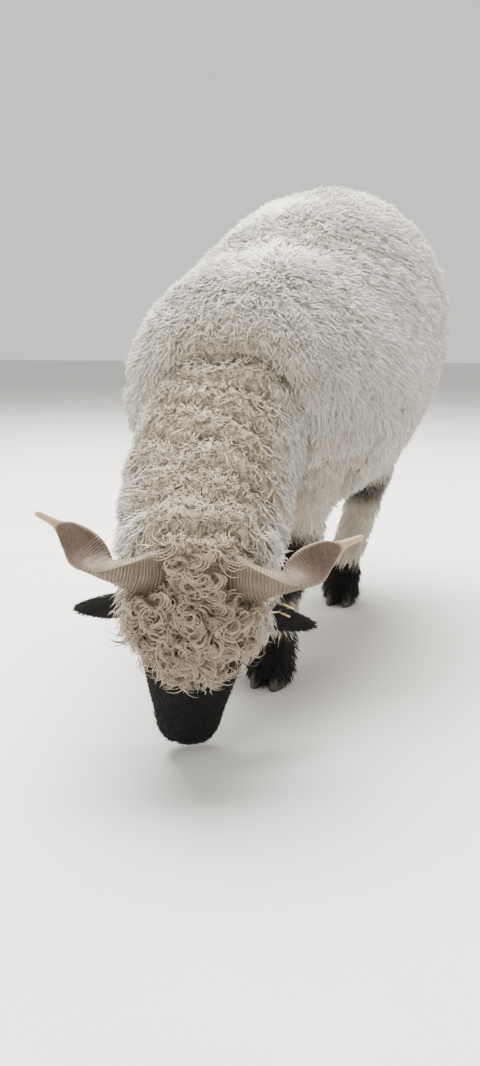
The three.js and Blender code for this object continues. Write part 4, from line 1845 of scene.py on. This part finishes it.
class Paint(Graph):
    """The node tree of one material, round its one shader."""

    def __init__(self, name: str) -> None:
        """Starts the material."""
        self.material = bpy.data.materials.new(name)
        self.material.use_nodes = True
        super().__init__(self.material.node_tree)

    def finished(self, inputs: dict) -> bpy.types.Material:
        """The material, once its shader's inputs are set or linked."""
        self.feed(self.tree.nodes["Principled BSDF"], inputs)
        return self.material


def group(name: str, inputs: dict[str, str], output: tuple[str, str]) -> tuple[Graph, dict]:
    """Starts a shader node group.

    Args:
        name: its name.
        inputs: the kind of each input socket, by name.
        output: the name and kind of its output socket.

    Returns:
        The group's graph, and its input sockets by name.
    """
    tree = bpy.data.node_groups.new(name, "ShaderNodeTree")
    for label, kind in inputs.items():
        tree.interface.new_socket(name=label, in_out="INPUT", socket_type=kind)
    tree.interface.new_socket(name=output[0], in_out="OUTPUT", socket_type=output[1])
    entry = tree.nodes.new("NodeGroupInput")
    return Graph(tree), {label: entry.outputs[label] for label in inputs}


COLOUR, NUMBER = "NodeSocketColor", "NodeSocketFloat"


def coat_colour_group() -> bpy.types.NodeTree:
    """The coat's markings and their soft variation, with painted shade that darkens each lock towards its
    root.

    Returns:
        The group.
    """
    sockets = {"Pale": COLOUR, "Stain And Shade": COLOUR, "Black": COLOUR, "Root Shade": NUMBER}
    graph, given = group("coat_colour", sockets, ("Colour", COLOUR))
    patchy = graph.span(graph.noise(16, 4), 0.3, 0.7, -0.13, 0.13)
    # The wool goes from the pale colour towards the darker one with real stains and with painted shade.
    tint = graph.math("MAXIMUM", graph.math("ADD", graph.read("tint"), patchy), 0.0)
    wool = graph.blend(graph.math("MINIMUM", tint, 1.0), given["Pale"], given["Stain And Shade"])
    # Painted shade: each lock darker towards its root and lighter towards its tip, from Root Shade up to
    # full.
    rising = graph.span(graph.read("rise"), 0.2, 0.95, 0, 1)
    lighter = graph.math("MULTIPLY", rising, graph.math("SUBTRACT", 1.0, given["Root Shade"]))
    shade = graph.math("ADD", given["Root Shade"], lighter)
    tone = graph.math("MULTIPLY", shade, graph.span(graph.read("draw"), 0, 1, 0.84, 1.10))
    grey = graph.add("ShaderNodeCombineColor", {0: tone, 1: tone, 2: tone}).outputs[0]
    shaded = graph.blend(1.0, wool, grey, "MULTIPLY")
    return graph.leave(graph.blend(graph.read("dark"), shaded, given["Black"]))


def strand_group() -> bpy.types.NodeTree:
    """Fine strands that run along each lock, as a height.

    Returns:
        The group.
    """
    graph, given = group("strands", {"Fineness": NUMBER}, ("Height", NUMBER))
    place = {"Vector": graph.read("strand", "Vector"), "Scale": (1.0, 1.0, 0.35)}
    stretched = graph.add("ShaderNodeMapping", place).outputs[0]
    inputs = {"Vector": stretched, "Scale": given["Fineness"], "Detail": 2.0}
    return graph.leave(graph.add("ShaderNodeTexNoise", inputs).outputs["Fac"])


@dataclass(frozen=True)
class CoatFinish:
    """A coat's colours and shine. Colours are linear."""

    name: str
    pale: Colour
    # The darker colour, for real stains and for painted shade.
    stained_and_shaded: Colour
    black: Colour = (0.0045, 0.0045, 0.0045, 1)
    root_shade: float = 0.86
    roughness: float = 0.85
    sheen: float = 0.25
    fineness: float = 2.6
    relief: float = 0.6
    glow: float = 0.0
    on_skin: bool = False

    def build(self, colours: bpy.types.NodeTree, strands: bpy.types.NodeTree) -> bpy.types.Material:
        """Makes the material.

        Args:
            colours: the group of the coat's colours.
            strands: the group of its strands.

        Returns:
            The material.
        """
        paint = Paint(self.name)
        given = {"Pale": self.pale, "Stain And Shade": self.stained_and_shaded, "Black": self.black}
        given["Root Shade"] = self.root_shade
        colour = paint.add("ShaderNodeGroup", given, node_tree=colours).outputs[0]
        if self.on_skin:
            relief = paint.bump(paint.noise(700, 3), 0.5, 0.0012)
        else:
            lines = paint.add("ShaderNodeGroup", {"Fineness": self.fineness}, node_tree=strands)
            relief = paint.bump(lines.outputs[0], self.relief, 0.0015)
        inputs = {"Base Color": colour, "Normal": relief, "Roughness": self.roughness}
        inputs |= {"Specular IOR Level": 0.25, "Sheen Weight": self.sheen, "Sheen Roughness": 0.45}
        inputs |= {"Subsurface Weight": self.glow, "Subsurface Radius": (1.0, 0.9, 0.75)}
        return paint.finished(inputs | {"Subsurface Scale": 0.006})


@dataclass(frozen=True)
class HornFinish:
    """Horn: painted shade in the grooves between its growth ridges, reddish and darkened with painted shade
    in its hollow, pale at its tip.
    """

    name: str
    ridge: Colour = (0.185, 0.138, 0.084, 1)
    # The groove colour paints shade into the grooves between the ridges, and also draws the horn's fine dark
    # growth lines.
    groove: Colour = (0.050, 0.036, 0.022, 1)
    streak: Colour = (0.13, 0.09, 0.055, 1)
    # The hollow: its own reddish brown darkened with painted shade, and a paler patchy mix of that painted
    # shade.
    hollow: Colour = (0.050, 0.027, 0.014, 1)
    paler_hollow_shade: Colour = (0.105, 0.065, 0.038, 1)
    tip: Colour = (0.40, 0.285, 0.175, 1)

    def build(self) -> bpy.types.Material:
        """Makes the material.

        Returns:
            The material.
        """
        paint = Paint(self.name)
        along = paint.read("along")
        worn = paint.span(paint.noise(90, 5), 0.35, 0.65, 0, 1)
        streaks = paint.noise(260, 3)
        # Painted shade in the grooves between the ridges, weaker on worn patches.
        depth = paint.math("MULTIPLY", paint.read("groove"), paint.span(worn, 0, 1, 0.55, 1.0))
        body = paint.blend(depth, self.ridge, self.groove)
        body = paint.blend(paint.span(streaks, 0.4, 0.7, 0, 0.35), body, self.streak)
        waver = paint.math("MULTIPLY", paint.noise(70, 3), 9.0)
        lines = paint.math("SINE", paint.math("ADD", paint.math("MULTIPLY", along, 520.0), waver))
        lines = paint.math("MULTIPLY", lines, paint.span(along, 0.4, 0.75, 1, 0))
        body = paint.blend(paint.span(lines, -0.3, 1, 0, 0.55), body, self.groove)
        body = paint.blend(paint.span(along, 0.45, 0.85, 0, 1), body, self.tip)
        # Painted shade in the hollow over its reddish colour, patchy with the streaks.
        hollow_shade = paint.blend(paint.span(streaks, 0.35, 0.7, 0, 0.7), self.hollow, self.paler_hollow_shade)
        body = paint.blend(paint.read("spoon"), body, hollow_shade)
        relief = paint.bump(paint.math("SUBTRACT", streaks, lines), 0.5, 0.0006)
        rough = paint.span(worn, 0, 1, 0.55, 0.75)
        return paint.finished({"Base Color": body, "Roughness": rough, "Normal": relief})


@dataclass(frozen=True)
class WornFinish:
    """A plain surface with worn patches, such as hoof horn scuffed by the ground or weathered plastic."""

    name: str
    sound: Colour
    worn: Colour
    scale: float
    patches: tuple[float, float]
    roughness: tuple[float, float]
    strength: float
    distance: float

    def build(self) -> bpy.types.Material:
        """Makes the material.

        Returns:
            The material.
        """
        paint = Paint(self.name)
        worn = paint.span(paint.noise(self.scale, 5), *self.patches, 0, 1)
        colour = paint.blend(worn, self.sound, self.worn)
        rough = paint.span(worn, 0, 1, *self.roughness)
        relief = paint.bump(worn, self.strength, self.distance)
        return paint.finished({"Base Color": colour, "Roughness": rough, "Normal": relief})


@dataclass(frozen=True)
class EyeFinish:
    """A wet amber eye with a level black pupil. Each colour has its pair for the flecks."""

    name: str
    iris: tuple[Colour, Colour] = ((0.20, 0.10, 0.03, 1), (0.42, 0.24, 0.07, 1))
    white: tuple[Colour, Colour] = ((0.22, 0.16, 0.13, 1), (0.36, 0.29, 0.25, 1))
    pupil: Colour = (0.004, 0.004, 0.005, 1)

    def build(self) -> bpy.types.Material:
        """Makes the material.

        Returns:
            The material.
        """
        paint = Paint(self.name)
        flecks = paint.span(paint.noise(500, 4), 0.35, 0.65, 0, 1)
        iris, white = paint.blend(flecks, *self.iris), paint.blend(flecks, *self.white)
        colour = paint.blend(paint.read("iris"), white, iris)
        colour = paint.blend(paint.read("pupil"), colour, self.pupil)
        wet = {"Roughness": 0.12, "Coat Weight": 0.8, "Coat Roughness": 0.03}
        return paint.finished({"Base Color": colour} | wet)


# Floor, lights and camera


@dataclass(frozen=True)
class AreaLight:
    """A square soft light."""

    name: str
    place: Triple
    size: float
    power: float
    colour: Triple = (1, 1, 1)

    def build(self, target: Vector) -> None:
        """Hangs the light and points it.

        Args:
            target: the place it points to.
        """
        lamp = bpy.data.lights.new(self.name, "AREA")
        lamp.size = self.size
        lamp.energy = self.power
        lamp.color = self.colour
        made = bpy.data.objects.new(self.name, lamp)
        made.location = self.place
        made.rotation_euler = (target - Vector(self.place)).to_track_quat("-Z", "Y").to_euler()
        bpy.context.scene.collection.objects.link(made)


@dataclass
class Studio:
    """A plain pale floor, soft light and the camera at the photograph's viewing angle."""

    floor_half: float = 30.0
    floor_colours: tuple[Colour, Colour] = ((0.60, 0.59, 0.57, 1), (0.64, 0.63, 0.61, 1))
    target: Vector = field(default_factory=lambda: Vector((0, 0, 0.42)))
    lights: tuple[AreaLight, ...] = (
        AreaLight("sky_light", (-0.8, 1.0, 4.2), 3.6, 1250, (1.0, 0.985, 0.95)),
        AreaLight("front_light", (-1.8, -3.8, 2.6), 2.6, 80, (1.0, 0.99, 0.97)),
        AreaLight("rim_light", (3.0, 2.6, 2.2), 2.0, 60, (1.0, 0.97, 0.92)),
    )

    def floor(self) -> None:
        """The floor, with a faint unevenness."""
        half = self.floor_half
        corners = np.array([(-half, -half, 0), (half, -half, 0), (half, half, 0), (-half, half, 0)])
        made = mesh_from("floor", corners, [np.array([[0, 1, 2, 3]])])
        paint = Paint("pale_floor")
        cloud = paint.span(paint.noise(1.5, 4), 0.35, 0.65, 0, 1)
        colour = paint.blend(cloud, *self.floor_colours)
        made.data.materials.append(paint.finished({"Base Color": colour, "Roughness": 0.9}))

    def world(self) -> None:
        """Even pale light from all round."""
        made = bpy.data.worlds.new("studio_air")
        made.use_nodes = True
        air = made.node_tree.nodes["Background"]
        air.inputs["Color"].default_value = (0.92, 0.905, 0.88, 1)
        air.inputs["Strength"].default_value = 1.0
        bpy.context.scene.world = made

    def camera(self) -> None:
        """The camera, at the photograph's place and angle."""
        lens = bpy.data.cameras.new("camera")
        lens.sensor_width = SENSOR
        lens.lens = SENSOR * FOCAL_PIXELS / PICTURE_HEIGHT
        lens.clip_start = 0.05
        made = bpy.data.objects.new("camera", lens)
        side, down = math.radians(CAMERA_SIDE), math.radians(CAMERA_DOWN)
        way = Vector((-math.sin(side) * math.cos(down), math.cos(side) * math.cos(down), -math.sin(down)))
        made.location = CAMERA_PLACE + CENTRING
        made.rotation_euler = way.to_track_quat("-Z", "Y").to_euler()
        bpy.context.scene.collection.objects.link(made)
        bpy.context.scene.camera = made

    def build(self) -> None:
        """Sets up the studio."""
        self.floor()
        self.world()
        for light in self.lights:
            light.build(self.target)
        self.camera()


# The solids that the one skin takes the place of
FLESH = ["torso", "neck", "head_wool", "head", "tail", "ear_left", "ear_right"]
FLESH += [f"{part}_{leg.name}" for leg in LEGS for part in ("leg", "foot")]


def main() -> None:
    """Builds every piece, in order."""
    logging.basicConfig(level=logging.INFO, format="%(message)s")
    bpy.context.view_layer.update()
    colours, strands = coat_colour_group(), strand_group()
    # The darker colour serves both the wool's real stains and its painted shade.
    cream, stain_and_shade_colour = (0.95, 0.87, 0.715, 1), (0.50, 0.385, 0.255, 1)
    wool = CoatFinish("white_wool", cream, stain_and_shade_colour, glow=0.6).build(colours, strands)
    beige, brown = (0.76, 0.665, 0.53, 1), (0.44, 0.345, 0.24, 1)
    curls = CoatFinish("curled_wool", beige, brown, root_shade=0.5, sheen=0.2).build(colours, strands)
    hair = CoatFinish("black_hair", cream, stain_and_shade_colour, roughness=0.7, sheen=0.0).build(colours, strands)
    bare = CoatFinish("skin", cream, stain_and_shade_colour, root_shade=0.5, roughness=0.8, sheen=0.0, on_skin=True)
    bare = bare.build(colours, strands)
    materials = {Finish.WOOL: wool, Finish.CURLS: curls, Finish.HAIR: hair}
    skin = Skin()
    body, head, chart = skin.build()
    hand_over(body, bare)
    hand_over(head, bare)
    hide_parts(*FLESH)
    underwool = Underwool().build(body, chart)
    hand_over(underwool, bare)
    fleece = Fleece(underwool, chart, materials)
    fleece.dress_body()
    fleece.dress_neck()
    fleece.dress_legs()
    fleece.dress_feet()
    fleece.dress_head()
    ShortHair().build(head, skin.face_count, hair)
    horn = HornFinish("horn").build()
    for side in (LEFT, RIGHT):
        Horn(side).build(horn)
    dark, scuffed = (0.035, 0.027, 0.022, 1), (0.10, 0.078, 0.058, 1)
    hoof = WornFinish("hoof_horn", dark, scuffed, 120, (0.4, 0.65), (0.38, 0.7), 0.3, 0.0006)
    Claws().build(hoof.build())
    Eyes().build(EyeFinish("eye").build())
    yellow, faded = (0.80, 0.62, 0.16, 1), (0.74, 0.62, 0.30, 1)
    plastic = WornFinish("tag_plastic", yellow, faded, 180, (0.4, 0.7), (0.35, 0.6), 0.15, 0.0004)
    Tag().build(plastic.build())
    Studio().build()


if __name__ == "__main__":
    main()
